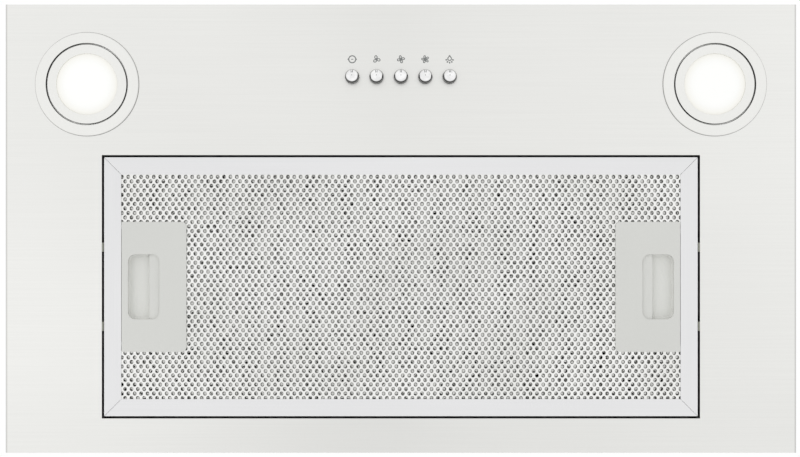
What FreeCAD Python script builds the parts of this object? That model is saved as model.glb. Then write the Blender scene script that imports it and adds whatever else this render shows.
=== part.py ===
import FreeCAD, Part
import math
import os
import types

import Sketcher

# An undermount range hood. Millimetres. +Z is up, -Y is the front with the buttons, and the origin is the
# middle of the fascia's outline, on the upper face of its rim, where the cabinet's underside lies.

SIZES = {
    # fascia tray
    "panel_width": 520,
    "panel_depth": 295,
    "panel_drop": 9,
    "panel_sheet": 0.8,
    "bend_radius": 1.2,
    "side_border": 63.5,
    "front_border": 99.2,
    "rear_border": 22.8,
    "lip_height": 6.8,
    "stud_radius": 1.5,
    "stud_length": 6.5,
    "stud_inset": 4,
    "stud_pitch": 70,
    "stud_rearward": 30,
    # housing
    "rim_width": 14,
    "housing_sheet": 0.8,
    "housing_gap": 0.5,
    "side_flange": 8,
    "end_flange": 5,
    "top_flange": 12,
    "cover_sheet": 1,
    "cover_inset": 1,
    "fixing_radius": 2.25,
    "fixing_height": 60,
    "fixing_pitch": 160,
    "gland_inset": 70,
    "gland_drop": 30,
    "gland_radius": 8,
    "gland_collar": 11,
    "gland_bore": 3.6,
    "gland_reach": 6,
    # electrics bay over the buttons and lamps
    "bay_reach": 93.1,
    "bay_height": 38,
    "bay_sheet": 0.8,
    "bay_gap": 0.5,
    # outlet collar and flaps
    "duct_radius": 59.5,
    "duct_wall": 2.5,
    "duct_height": 45,
    "duct_behind_wheel": 58,
    "duct_base": 3,
    "duct_base_margin": 6,
    "duct_base_corner": 6,
    "duct_screw_inset": 13.5,
    "ledge_bore": 53.5,
    "ledge_height": 4.5,
    "flap_sheet": 1.5,
    "flap_gap": 1.2,
    "flap_axis_height": 7,
    "flap_axis_spread": 4,
    "flap_tube": 3,
    "flap_tube_length": 104,
    "trunnion_radius": 2,
    "trunnion_length": 117.2,
    # blower
    "wheel_inset": 139.5,
    "wheel_height": 118,
    "wheel_radius": 66,
    "wheel_width": 124,
    "wheel_disc": 3,
    "wheel_ring": 3,
    "blade_depth": 11,
    "blade_sheet": 1.2,
    "blade_count": 36,
    "hub_radius": 9,
    "hub_behind": 5,
    "hub_ahead": 10,
    "scroll_start": 77.5,
    "scroll_step": 11,
    "scroll_wall": 2,
    "scroll_half": 70,
    "scroll_headroom": 4.5,
    "scroll_tongue": 36,
    "scroll_inlet": 54,
    "scroll_lug": 5,
    "scroll_lug_depth": 6,
    "scroll_flange": 12,
    "scroll_flange_sheet": 3,
    # motor
    "shaft_radius": 4,
    "shaft_end": 17,
    "stator_radius": 36,
    "stator_bore": 20.3,
    "stator_from": 28,
    "stator_length": 20,
    "rotor_radius": 19.8,
    "rotor_length": 18,
    "winding_inner": 21.5,
    "winding_outer": 31,
    "winding_length": 8,
    "can_wall": 1.5,
    "can_inner_end": 8,
    "bush_radius": 8,
    "bush_length": 8,
    "bush_boss": 11,
    "bracket_sheet": 2,
    "bracket_hub": 28,
    "bracket_ring": 66,
    "bracket_rim": 9,
    "bracket_arm": 14,
    "nut_radius": 7.5,
    "nut_height": 6,
    # electrics
    "capacitor_radius": 15,
    "capacitor_height": 60,
    "capacitor_right": 110,
    "capacitor_inset": 37.5,
    "capacitor_stud": 4,
    "capacitor_stud_length": 9,
    "driver_width": 80,
    "driver_depth": 34,
    "driver_height": 22,
    "driver_left": 120,
    "terminal_width": 66,
    "terminal_depth": 34,
    "terminal_height": 44,
    "terminal_wall": 2,
    # buttons and their switch bank
    "button_pitch": 16,
    "button_inset": 47.8,
    "button_radius": 4.7,
    "button_straight": 5,
    "button_proud": 7.5,
    "button_collar": 6.2,
    "button_collar_sheet": 1,
    "button_stem": 2,
    "button_stem_top": 18.5,
    "button_spring_radius": 3.2,
    "switch_width": 84,
    "switch_depth": 18,
    "switch_height": 15,
    "switch_bore_depth": 12.5,
    "bracket_plate": 1,
    "bracket_width": 96,
    "bracket_depth": 16,
    "bracket_foot": 8,
    "blade_tab": 6,
    # lamps
    "lamp_side_inset": 53.8,
    "lamp_front_inset": 52.6,
    "bezel_radius": 34.25,
    "bezel_face": 1,
    "bezel_bevel": 0.65,
    "bezel_bore": 27,
    "bezel_shoulder": 1.2,
    "barrel_radius": 29.6,
    "barrel_wall": 1.6,
    "barrel_height": 16,
    "ring_radius": 26.2,
    "ring_bore": 20,
    "ring_proud": 0.8,
    "ring_flange": 27.6,
    "ring_seat": 0.6,
    "ring_top": 3.4,
    "lens_radius": 22.5,
    "lens_sheet": 1.8,
    "lens_crown": 1,
    "board_radius": 24,
    "board_sheet": 1.5,
    "lamp_clip_width": 8,
    "lamp_clip_sheet": 0.5,
    "lamp_clip_reach": 38.2,
    # grease filter
    "filter_gap": 1.3,
    "filter_height": 8.5,
    "rail_width": 11.4,
    "rail_sheet": 0.8,
    "mesh_sheet": 0.8,
    "mesh_inset": 1.2,
    "mesh_columns": 25,
    "mesh_rows": 12,
    "mesh_strand": 4.4,
    "pleat_count": 48,
    "pleat_sheet": 0.5,
    # handles and latches
    "handle_width": 42.5,
    "handle_depth": 85.4,
    "handle_sheet": 1.2,
    "handle_corner": 3,
    "handle_rail_gap": 0.3,
    "handle_overlap": 4,
    "recess_width": 20.4,
    "recess_depth": 42.7,
    "recess_inset": 3.6,
    "recess_corner": 5,
    "recess_roof": 1.8,
    "pan_wall": 1.2,
    "ledge_width": 5.9,
    "latch_travel": 6,
    "latch_sheet": 1.2,
    "latch_bar": 8,
    "latch_lip": 3.4,
    "arm_spread": 26,
    "arm_width": 6,
    "slide_gap": 0.15,
    "spring_seat_height": 4,
    "spring_post_inset": 1.2,
    "latch_spring_radius": 1.95,
    "catch_sheet": 0.3,
    "catch_nose": 1,
    # springs, screws and clearances
    "spring_wire": 0.5,
    "spring_turns": 4,
    "screw_radius": 1.75,
    "screw_head": 3.5,
    "screw_head_height": 2,
    "screw_length": 8,
    "free_gap": 0.35,
    "bite_gap": 0.05,
    "fit_gap": 0.03,
}

Vector = FreeCAD.Vector
doc = FreeCAD.newDocument("range_hood")
sheet = doc.addObject("Spreadsheet::Sheet", "Sizes")
nodes = []


class Size:
    """A length together with the sheet expression that drives it."""

    def __init__(self, value, text):
        self.value = float(value)
        self.text = text

    def __add__(self, other):
        other = as_size(other)
        return Size(self.value + other.value, f"({self.text} + {other.text})")

    def __sub__(self, other):
        other = as_size(other)
        return Size(self.value - other.value, f"({self.text} - {other.text})")

    def __mul__(self, factor):
        return Size(self.value * factor, f"({self.text} * ({factor!r}))")

    def __truediv__(self, divisor):
        divisor = as_size(divisor)
        return Size(self.value / divisor.value, f"({self.text} / {divisor.text})")

    def __neg__(self):
        return Size(-self.value, f"(-{self.text})")

    __radd__ = __add__
    __rmul__ = __mul__


def as_size(amount):
    if isinstance(amount, Size):
        return amount
    return Size(amount, f"({float(amount)!r})")


def fill_sheet():
    """Writes every size into the sheet and returns them by name."""
    for row, (name, value) in enumerate(SIZES.items(), 1):
        sheet.set(f"A{row}", name)
        sheet.set(f"B{row}", str(value))
        sheet.setAlias(f"B{row}", name)
    doc.recompute()
    return types.SimpleNamespace(**{name: Size(value, f"Sizes.{name}") for name, value in SIZES.items()})


d = fill_sheet()


# Binding, sketches and features


def bind(thing, path, amount):
    thing.setExpression(path, as_size(amount).text)


def keep(thing, label):
    """Names a finished piece and puts it in the list that is written out."""
    thing.Label = label
    nodes.append(thing)
    return thing


def place(thing, at, turn=None):
    if turn is not None:
        thing.Placement = FreeCAD.Placement(Vector(0, 0, 0), turn)
    for axis, amount in zip("xyz", at):
        bind(thing, f"Placement.Base.{axis}", amount)


def new_body(label):
    return doc.addObject("PartDesign::Body", label)


def origin_part(body, role):
    return next(part for part in body.Origin.OriginFeatures if part.Role == role)


def sketch(body, axis, at):
    """A sketch whose origin is at a point and whose normal is +X, -Y or +Z."""
    role = {"x": "YZ_Plane", "y": "XZ_Plane", "z": "XY_Plane"}[axis]
    x, y, z = (as_size(amount) for amount in at)
    offsets = {"x": (y, z, x), "y": (x, z, -y), "z": (x, y, z)}[axis]
    drawing = body.newObject("Sketcher::SketchObject", "outline")
    drawing.AttachmentSupport = [(origin_part(body, role), "")]
    drawing.MapMode = "FlatFace"
    for letter, amount in zip("xyz", offsets):
        bind(drawing, f"AttachmentOffset.Base.{letter}", amount)
    return drawing


def measure(drawing, kind, places, amount):
    """A driving dimension: kind and the points or edges that it holds."""
    amount = as_size(amount)
    index = drawing.addConstraint(Sketcher.Constraint(kind, *places, amount.value))
    drawing.setExpression(f"Constraints[{index}]", amount.text)


def hold_point(drawing, geometry, point, x, y):
    """Holds a point from the sketch's origin."""
    for kind, amount, axis in (("DistanceX", as_size(x), -2), ("DistanceY", as_size(y), -1)):
        if amount.value == 0:
            drawing.addConstraint(Sketcher.Constraint("PointOnObject", geometry, point, axis))
        else:
            measure(drawing, kind, (-1, 1, geometry, point), amount)


def join(drawing, edges):
    """Joins each edge's end to the next one's start."""
    for edge, following in zip(edges, edges[1:] + edges[:1]):
        drawing.addConstraint(Sketcher.Constraint("Coincident", edge, 2, following, 1))


def lines(drawing, points):
    """Adds lines from point to point and returns their numbers."""
    spots = [Vector(as_size(x).value, as_size(y).value, 0) for x, y in points]
    return [drawing.addGeometry(Part.LineSegment(a, b), False) for a, b in zip(spots, spots[1:])]


def polygon(drawing, points):
    """A closed outline whose corners are each held from the sketch's origin."""
    edges = lines(drawing, points + points[:1])
    join(drawing, edges)
    for edge, (x, y) in zip(edges, points):
        hold_point(drawing, edge, 1, x, y)


def rectangle(drawing, width, height):
    """A rectangle about the sketch's origin."""
    x, y = as_size(width) / 2, as_size(height) / 2
    edges = lines(drawing, [(-x, -y), (x, -y), (x, y), (-x, y), (-x, -y)])
    join(drawing, edges)
    for edge in edges[::2]:
        drawing.addConstraint(Sketcher.Constraint("Horizontal", edge))
    for edge in edges[1::2]:
        drawing.addConstraint(Sketcher.Constraint("Vertical", edge))
    drawing.addConstraint(Sketcher.Constraint("Symmetric", edges[0], 1, edges[2], 1, -1, 1))
    measure(drawing, "DistanceX", (edges[0], 1, edges[0], 2), width)
    measure(drawing, "DistanceY", (edges[1], 1, edges[1], 2), height)


def arc(drawing, centre, radius, start, end):
    ring = Part.Circle(Vector(centre[0], centre[1], 0), Vector(0, 0, 1), radius)
    return drawing.addGeometry(Part.ArcOfCircle(ring, start, end), False)


def rounded_rectangle(drawing, width, height, corner):
    """A rectangle with round corners about the sketch's origin."""
    x, y, r = as_size(width).value / 2, as_size(height).value / 2, corner.value
    quarter = math.pi / 2
    edges = []
    for turn, (sx, sy) in enumerate(((1, -1), (1, 1), (-1, 1), (-1, -1))):
        along = ((-x + r, -y), (x, -y + r), (x - r, y), (-x, y - r))[turn]
        to = ((x - r, -y), (x, y - r), (-x + r, y), (-x, -y + r))[turn]
        edges += lines(drawing, [along, to])
        edges.append(arc(drawing, (sx * (x - r), sy * (y - r)), r, (turn - 1) * quarter, turn * quarter))
    for edge, following in zip(edges, edges[1:] + edges[:1]):
        drawing.addConstraint(Sketcher.Constraint("Tangent", edge, 2, following, 1))
    for edge in (edges[0], edges[4]):
        drawing.addConstraint(Sketcher.Constraint("Horizontal", edge))
    for edge in (edges[2], edges[6]):
        drawing.addConstraint(Sketcher.Constraint("Vertical", edge))
    for edge in edges[3::2]:
        drawing.addConstraint(Sketcher.Constraint("Equal", edges[1], edge))
    drawing.addConstraint(Sketcher.Constraint("Symmetric", edges[1], 3, edges[5], 3, -1, 1))
    measure(drawing, "Radius", (edges[1],), corner)
    measure(drawing, "DistanceX", (edges[6], 1, edges[2], 1), width)
    measure(drawing, "DistanceY", (edges[0], 1, edges[4], 1), height)


def circle(drawing, radius, x=0, y=0):
    radius, x, y = as_size(radius), as_size(x), as_size(y)
    ring = Part.Circle(Vector(x.value, y.value, 0), Vector(0, 0, 1), radius.value)
    edge = drawing.addGeometry(ring, False)
    measure(drawing, "Radius", (edge,), radius)
    hold_point(drawing, edge, 3, x, y)


def pad(body, drawing, length):
    feature = body.newObject("PartDesign::Pad", "pad")
    feature.Profile = drawing
    bind(feature, "Length", length)
    return feature


def pocket(body, drawing, length):
    """A cut along the sketch's normal."""
    feature = body.newObject("PartDesign::Pocket", "cut")
    feature.Profile = drawing
    feature.Reversed = True
    bind(feature, "Length", length)
    return feature


def block(body, at, span, axis="z"):
    """Adds a box that starts at a point and is centred about it across the axis."""
    drawing = sketch(body, axis, at)
    rectangle(drawing, span[0], span[1])
    return pad(body, drawing, span[2])


def slot(body, at, span, axis="z"):
    """Cuts a box that starts at a point and is centred about it across the axis."""
    drawing = sketch(body, axis, at)
    rectangle(drawing, span[0], span[1])
    return pocket(body, drawing, span[2])


def frame(body, at, outer, inner, height):
    """Adds a four-sided frame between two rectangles about one point."""
    drawing = sketch(body, "z", at)
    rectangle(drawing, *outer)
    rectangle(drawing, *inner)
    return pad(body, drawing, height)


def post(body, at, radius, length, axis="z"):
    drawing = sketch(body, axis, at)
    circle(drawing, radius)
    return pad(body, drawing, length)


def bore(body, at, radius, length, axis="z"):
    drawing = sketch(body, axis, at)
    circle(drawing, radius)
    return pocket(body, drawing, length)


def tube(body, at, radius, hole, length, axis="z"):
    drawing = sketch(body, axis, at)
    circle(drawing, radius)
    circle(drawing, hole)
    return pad(body, drawing, length)


def turn_about_z(body, drawing):
    feature = body.newObject("PartDesign::Revolution", "turned")
    feature.Profile = drawing
    feature.ReferenceAxis = (origin_part(body, "Z_Axis"), [""])
    feature.Angle = 360
    return feature


def turned(label, at, points):
    """A ring or a cup turned about the body's own Z axis from (radius, height) points."""
    body = new_body(label)
    drawing = sketch(body, "y", (0, 0, 0))
    polygon(drawing, points)
    turn_about_z(body, drawing)
    place(body, at)
    return body


def domed(label, at, crown, rim, points):
    """A turned piece whose lower end is a shallow dome from the axis to its rim."""
    body = new_body(label)
    drawing = sketch(body, "y", (0, 0, 0))
    radius, rim_height = rim
    rise = (rim_height - crown).value
    sphere = (radius.value**2 + rise**2) / (2 * rise)
    middle = crown.value + sphere
    end = math.atan2(rim_height.value - middle, radius.value)
    dome = arc(drawing, (0, middle), sphere, -math.pi / 2, end)
    corners = [rim, *points, (as_size(0), points[-1][1]), (as_size(0), crown)]
    edges = lines(drawing, corners)
    join(drawing, [dome, *edges])
    drawing.addConstraint(Sketcher.Constraint("PointOnObject", dome, 3, -2))
    for edge, (x, y) in zip(edges, corners):
        hold_point(drawing, edge, 1, x, y)
    hold_point(drawing, dome, 1, 0, crown)
    turn_about_z(body, drawing)
    place(body, at)
    return body


def round_edges(body, feature, radius, wanted):
    """Rounds the edges of a feature that a test picks."""
    doc.recompute()
    names = [f"Edge{number}" for number, edge in enumerate(feature.Shape.Edges, 1) if wanted(edge)]
    rounding = body.newObject("PartDesign::Fillet", "rounding")
    rounding.Base = (feature, names)
    bind(rounding, "Radius", radius)
    return rounding


# Rods, screws and groups made of primitives

TURNS = {
    "x": FreeCAD.Rotation(Vector(0, 1, 0), 90),
    "y": FreeCAD.Rotation(Vector(1, 0, 0), -90),
    "z": FreeCAD.Rotation(),
}


def shifted(at, axis, amount):
    return tuple(as_size(part) + amount if name == axis else part for name, part in zip("xyz", at))


def rod(axis, at, radius, length):
    cylinder = doc.addObject("Part::Cylinder", "rod")
    bind(cylinder, "Radius", radius)
    bind(cylinder, "Height", length)
    place(cylinder, at, TURNS[axis])
    return cylinder


def box(at, span):
    """A box that starts at a point and is centred about it in X and Y."""
    solid = doc.addObject("Part::Box", "box")
    for name, amount in zip(("Length", "Width", "Height"), span):
        bind(solid, name, amount)
    place(solid, (as_size(at[0]) - as_size(span[0]) / 2, as_size(at[1]) - as_size(span[1]) / 2, at[2]))
    return solid


def fused(pieces):
    union = doc.addObject("Part::MultiFuse", "union")
    union.Shapes = pieces
    return union


def group(label, pieces):
    bundle = doc.addObject("Part::Compound", label)
    bundle.Links = pieces
    return keep(bundle, label)


def screw(axis, seat, way, length):
    """A pan-head screw whose head sits at a point and whose shank runs up or down an axis."""
    if way > 0:
        shank_start, head_start = seat, shifted(seat, axis, -d.screw_head_height)
    else:
        shank_start, head_start = shifted(seat, axis, -length), seat
    return fused([rod(axis, shank_start, d.screw_radius, length),
                  rod(axis, head_start, d.screw_head, d.screw_head_height)])


def hex_nut(axis, at, radius, hole, height):
    prism = doc.addObject("Part::Prism", "hexagon")
    prism.Polygon = 6
    bind(prism, "Circumradius", radius)
    bind(prism, "Height", height)
    place(prism, at, TURNS[axis])
    nut = doc.addObject("Part::Cut", "nut")
    nut.Base = prism
    nut.Tool = rod(axis, at, hole, height)
    return nut


# Places that several pieces share

FACE = -d.panel_drop
PLATE_TOP = FACE + d.panel_sheet
HALF_WIDTH = d.panel_width / 2
HALF_DEPTH = d.panel_depth / 2
OPENING_WIDTH = d.panel_width - d.side_border * 2
OPENING_DEPTH = d.panel_depth - d.front_border - d.rear_border
MIDDLE = (d.front_border - d.rear_border) / 2
HOUSING_WIDTH = d.panel_width - d.rim_width * 2
HOUSING_DEPTH = d.panel_depth - d.rim_width * 2
HOUSING_HEIGHT = d.wheel_height + d.scroll_start + d.scroll_headroom
COVER_TOP = HOUSING_HEIGHT + d.cover_sheet
INNER_WIDTH = HOUSING_WIDTH - d.housing_sheet * 2
INNER_DEPTH = HOUSING_DEPTH - d.housing_sheet * 2
FILTER_WIDTH = OPENING_WIDTH - d.filter_gap * 2
FILTER_DEPTH = OPENING_DEPTH - d.filter_gap * 2
BUTTON_LINE = d.button_inset - HALF_DEPTH
LAMP_LINE = d.lamp_front_inset - HALF_DEPTH
LAMP_SPREAD = HALF_WIDTH - d.lamp_side_inset
BAY_LINE = d.bay_reach - HALF_DEPTH
CAPACITOR_LINE = d.capacitor_inset - HALF_DEPTH
WHEEL_LINE = HALF_DEPTH - d.wheel_inset
DUCT_LINE = WHEEL_LINE + d.duct_behind_wheel
GLAND_X = d.gland_inset - HALF_WIDTH
GLAND_HEIGHT = HOUSING_HEIGHT - d.gland_drop
LAMPS = [("left", -1), ("right", 1)]
BUTTONS = ["off", "speed_1", "speed_2", "speed_3", "light"]
STUDS = [(side * (INNER_WIDTH / 2 - d.stud_inset), d.stud_rearward + step * d.stud_pitch)
         for side in (-1, 1) for step in (-1, 0, 1)]
TOP_EDGE_X = INNER_WIDTH / 2 - d.top_flange / 2
TOP_EDGE_Y = INNER_DEPTH / 2 - d.top_flange / 2
TOP_SCREWS = [(sx * TOP_EDGE_X, sy * TOP_EDGE_Y / 2) for sx in (-1, 1) for sy in (-1, 1)]
TOP_SCREWS += [(sx * TOP_EDGE_X / 2, sy * TOP_EDGE_Y) for sx in (-1, 1) for sy in (-1, 1)]
SCROLL_SCREW_X = d.scroll_half + d.scroll_flange / 2 + 1
OUTLET_FRONT = WHEEL_LINE + d.scroll_tongue
OUTLET_REAR = WHEEL_LINE + d.scroll_start + d.scroll_step * 2.5
OUTLET_MIDDLE = (OUTLET_FRONT + OUTLET_REAR) / 2
OUTLET_SCREWS = [(sx * SCROLL_SCREW_X, OUTLET_MIDDLE + sy * d.scroll_flange * 1.5)
                 for sx in (-1, 1) for sy in (-1, 1)]
DUCT_BASE_WIDTH = (d.duct_radius + d.duct_base_margin) * 2
COLLAR_SCREW_SPREAD = DUCT_BASE_WIDTH / 2 - d.duct_screw_inset


def make_fascia():
    body = new_body("fascia_panel")
    tray = block(body, (0, 0, FACE), (d.panel_width, d.panel_depth, d.panel_drop))
    round_edges(body, tray, d.bend_radius, lambda edge: abs(edge.Vertexes[0].Z - edge.Vertexes[1].Z) < 0.01)
    inside = (d.panel_width - d.panel_sheet * 2, d.panel_depth - d.panel_sheet * 2)
    slot(body, (0, 0, PLATE_TOP), (*inside, d.panel_drop - d.panel_sheet * 2))
    mouth = (HOUSING_WIDTH + d.housing_gap * 2, HOUSING_DEPTH + d.housing_gap * 2)
    slot(body, (0, 0, -d.panel_sheet * 2), (*mouth, d.panel_sheet * 3))
    lip = (OPENING_WIDTH + d.panel_sheet * 2, OPENING_DEPTH + d.panel_sheet * 2)
    block(body, (0, MIDDLE, FACE + d.panel_sheet / 2), (*lip, d.lip_height - d.panel_sheet / 2))
    slot(body, (0, MIDDLE, FACE - 1), (OPENING_WIDTH, OPENING_DEPTH, d.lip_height + 2))
    for name, side in LAMPS:
        at = (side * LAMP_SPREAD, LAMP_LINE, FACE - 1)
        bore(body, at, d.barrel_radius + d.free_gap, d.panel_sheet + 2)
    for number in range(len(BUTTONS)):
        at = (d.button_pitch * (number - 2), BUTTON_LINE, FACE - 1)
        bore(body, at, d.button_radius + d.free_gap, d.panel_sheet + 2)
    for x, y in STUDS:
        post(body, (x, y, PLATE_TOP - d.panel_sheet / 2), d.stud_radius, d.stud_length + d.panel_sheet / 2)
    keep(body, "fascia_panel")
    nut_base = PLATE_TOP + d.housing_sheet
    nut_size = (d.stud_radius * 2.1, d.stud_radius + d.bite_gap, d.stud_radius * 1.6)
    group("fascia_nuts", [hex_nut("z", (x, y, nut_base), *nut_size) for x, y in STUDS])


def upright_at_corner(edge, size):
    """Whether an edge stands upright on a corner of a rectangle about the origin."""
    low, high = edge.Vertexes[0].Point, edge.Vertexes[-1].Point
    upright = abs(high.z - low.z) > 1
    return upright and all(abs(abs(spot) - span.value / 2) < 0.01
                           for point in (low, high) for spot, span in zip(point, size))


def make_housing():
    body = new_body("housing_shell")
    outer = (HOUSING_WIDTH, HOUSING_DEPTH)
    inner = (INNER_WIDTH, INNER_DEPTH)
    frame(body, (0, 0, PLATE_TOP), outer, inner, HOUSING_HEIGHT - PLATE_TOP)
    foot = (inner[0] - d.side_flange * 2, inner[1] - d.end_flange * 2)
    frame(body, (0, 0, PLATE_TOP), outer, foot, d.housing_sheet)
    head = (inner[0] - d.top_flange * 2, inner[1] - d.top_flange * 2)
    shell = frame(body, (0, 0, HOUSING_HEIGHT - d.housing_sheet), outer, head, d.housing_sheet)
    for size, radius in ((outer, d.bend_radius + d.housing_sheet), (inner, d.bend_radius)):
        shell = round_edges(body, shell, radius, lambda edge, size=size: upright_at_corner(edge, size))
    for x, y in STUDS:
        bore(body, (x, y, PLATE_TOP - 1), d.stud_radius + d.free_gap, d.housing_sheet + 2)
    for x, y in TOP_SCREWS:
        bore(body, (x, y, HOUSING_HEIGHT - d.housing_sheet - 1), d.screw_radius + d.bite_gap,
             d.housing_sheet + 2)
    for way in (-1, 1):
        at = (-HOUSING_WIDTH / 2 - 1, way * d.fixing_pitch / 2, d.fixing_height)
        bore(body, at, d.fixing_radius, HOUSING_WIDTH + 2, "x")
    bore(body, (GLAND_X, HOUSING_DEPTH / 2 + 1, GLAND_HEIGHT), d.gland_radius + d.fit_gap,
         d.housing_sheet + 2, "y")
    keep(body, "housing_shell")

    cover = new_body("top_cover")
    plate = (HOUSING_WIDTH - d.cover_inset * 2, HOUSING_DEPTH - d.cover_inset * 2, d.cover_sheet)
    block(cover, (0, 0, HOUSING_HEIGHT), plate)
    cut_outlet(cover)
    for x, y in TOP_SCREWS + OUTLET_SCREWS:
        bore(cover, (x, y, HOUSING_HEIGHT - 1), d.screw_radius + d.free_gap, d.cover_sheet + 2)
    for x, y in collar_screw_spots():
        bore(cover, (x, y, HOUSING_HEIGHT - 1), d.screw_radius + d.bite_gap, d.cover_sheet + 2)
    keep(cover, "top_cover")
    group("top_screws", [screw("z", (x, y, COVER_TOP), -1, d.screw_length) for x, y in TOP_SCREWS])

    bay = new_body("control_bay_cover")
    width = INNER_WIDTH - d.bay_gap * 2
    foot_level = PLATE_TOP + d.housing_sheet
    block(bay, (0, BAY_LINE, foot_level), (width, d.bay_sheet, d.bay_height + d.bay_sheet - foot_level))
    front = -INNER_DEPTH / 2 + d.bay_gap
    back = BAY_LINE + d.bay_sheet / 2
    block(bay, (0, (front + back) / 2, d.bay_height), (width, back - front, d.bay_sheet))
    bore(bay, (d.capacitor_right, CAPACITOR_LINE, d.bay_height - 1), d.capacitor_stud + d.free_gap,
         d.bay_sheet + 2)
    keep(bay, "control_bay_cover")


def cut_outlet(body):
    """The outlet: the part of the collar's bore that lies over the blower's mouth."""
    drawing = sketch(body, "z", (0, DUCT_LINE, HOUSING_HEIGHT - 1))
    radius = d.ledge_bore
    low = OUTLET_FRONT + d.scroll_wall - DUCT_LINE
    high = OUTLET_REAR - d.scroll_wall - DUCT_LINE
    x_low = math.sqrt(radius.value**2 - low.value**2)
    x_high = math.sqrt(radius.value**2 - high.value**2)
    a_low = math.atan2(low.value, x_low)
    a_high = math.atan2(high.value, x_high)
    bottom = lines(drawing, [(-x_low, low), (x_low, low)])[0]
    right = arc(drawing, (0, 0), radius.value, a_low, a_high)
    top = lines(drawing, [(x_high, high), (-x_high, high)])[0]
    left = arc(drawing, (0, 0), radius.value, math.pi - a_high, math.pi - a_low)
    join(drawing, [bottom, right, top, left])
    for edge in (right, left):
        drawing.addConstraint(Sketcher.Constraint("Coincident", edge, 3, -1, 1))
        measure(drawing, "Radius", (edge,), radius)
    for edge, level in ((bottom, low), (top, high)):
        drawing.addConstraint(Sketcher.Constraint("Horizontal", edge))
        measure(drawing, "DistanceY", (-1, 1, edge, 1), level)
    pocket(body, drawing, d.cover_sheet + 2)


def collar_screw_spots():
    return [(sx * COLLAR_SCREW_SPREAD, DUCT_LINE + sy * COLLAR_SCREW_SPREAD)
            for sx in (-1, 1) for sy in (-1, 1)]


def make_collar():
    inner = d.duct_radius - d.duct_wall
    points = [(d.ledge_bore, as_size(0)), (d.duct_radius, as_size(0)), (d.duct_radius, d.duct_height),
              (inner, d.duct_height), (inner, d.ledge_height), (d.ledge_bore, d.ledge_height)]
    collar = turned("duct_collar", (0, DUCT_LINE, COVER_TOP), points)
    base = sketch(collar, "z", (0, 0, 0))
    rounded_rectangle(base, DUCT_BASE_WIDTH, DUCT_BASE_WIDTH, d.duct_base_corner)
    circle(base, d.ledge_bore)
    pad(collar, base, d.duct_base)
    for way in (-1, 1):
        at = (-d.duct_radius - 1, way * d.flap_axis_spread, d.flap_axis_height)
        bore(collar, at, d.trunnion_radius + d.bite_gap, d.duct_radius * 2 + 2, "x")
    for x, y in collar_screw_spots():
        bore(collar, (x, y - DUCT_LINE, as_size(-1)), d.screw_radius + d.free_gap, d.duct_base + 2)
    keep(collar, "duct_collar")
    seats = [(x, y, COVER_TOP + d.duct_base) for x, y in collar_screw_spots()]
    group("collar_screws", [screw("z", seat, -1, d.screw_length) for seat in seats])
    for name, way in (("front", -1), ("rear", 1)):
        make_flap(f"damper_flap_{name}", way, inner - d.flap_gap)


def make_flap(label, way, radius):
    """A half disc on a hinge tube with two trunnions, lying shut just over the collar's ledge."""
    body = new_body(label)
    low = d.ledge_height + d.slide_gap * 2
    drawing = sketch(body, "z", (0, 0, low))
    edge = d.flap_axis_spread
    chord = math.sqrt(radius.value**2 - edge.value**2)
    start = math.atan2(edge.value, chord)
    straight = lines(drawing, [(way * -chord, way * edge.value), (way * chord, way * edge.value)])[0]
    if way > 0:
        bow = arc(drawing, (0, 0), radius.value, start, math.pi - start)
    else:
        bow = arc(drawing, (0, 0), radius.value, math.pi + start, 2 * math.pi - start)
    join(drawing, [straight, bow])
    drawing.addConstraint(Sketcher.Constraint("Coincident", bow, 3, -1, 1))
    drawing.addConstraint(Sketcher.Constraint("Horizontal", straight))
    measure(drawing, "Radius", (bow,), radius)
    measure(drawing, "DistanceY", (-1, 1, straight, 1), way * edge)
    pad(body, drawing, d.flap_sheet)
    axis_y = way * d.flap_axis_spread
    post(body, (-d.flap_tube_length / 2, axis_y, d.flap_axis_height), d.flap_tube, d.flap_tube_length, "x")
    trunnion_at = (-d.trunnion_length / 2, axis_y, d.flap_axis_height)
    post(body, trunnion_at, d.trunnion_radius, d.trunnion_length, "x")
    place(body, (0, DUCT_LINE, COVER_TOP))
    keep(body, label)


def volute(drawing, grown, top):
    """The blower casing's outline about the wheel's axis: three growing arcs and a straight outlet."""
    half = d.scroll_step / 2
    first = d.scroll_start + grown
    arcs = [((-half, -half), first), ((half, -half), first + d.scroll_step),
            ((half, half), first + d.scroll_step * 2)]
    tongue = d.scroll_tongue - grown
    reach = tongue.value + half.value
    start = math.atan2(math.sqrt(first.value**2 - reach**2), reach)
    level = -half.value + math.sqrt(first.value**2 - reach**2)
    right = half + arcs[2][1]
    wall = lines(drawing, [(tongue, top), (tongue, level)])[0]
    turns = []
    for number, (centre, radius) in enumerate(arcs):
        begin = start if number == 0 else math.pi * (1 + (number - 1) / 2)
        spot = (centre[0].value, centre[1].value)
        turns.append(arc(drawing, spot, radius.value, begin, math.pi * (1 + number / 2)))
    rear, mouth = lines(drawing, [(right, half), (right, top), (tongue, top)])
    join(drawing, [wall, *turns, rear, mouth])
    for turn, (centre, radius), level_kind in zip(turns, arcs, ("Horizontal", "Vertical", "Horizontal")):
        hold_point(drawing, turn, 3, *centre)
        drawing.addConstraint(Sketcher.Constraint(level_kind, turn, 2, turn, 3))
    measure(drawing, "Radius", (turns[0],), first)
    drawing.addConstraint(Sketcher.Constraint("Vertical", wall))
    drawing.addConstraint(Sketcher.Constraint("Vertical", rear))
    drawing.addConstraint(Sketcher.Constraint("Horizontal", mouth))
    hold_point(drawing, wall, 1, tongue, top)


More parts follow.
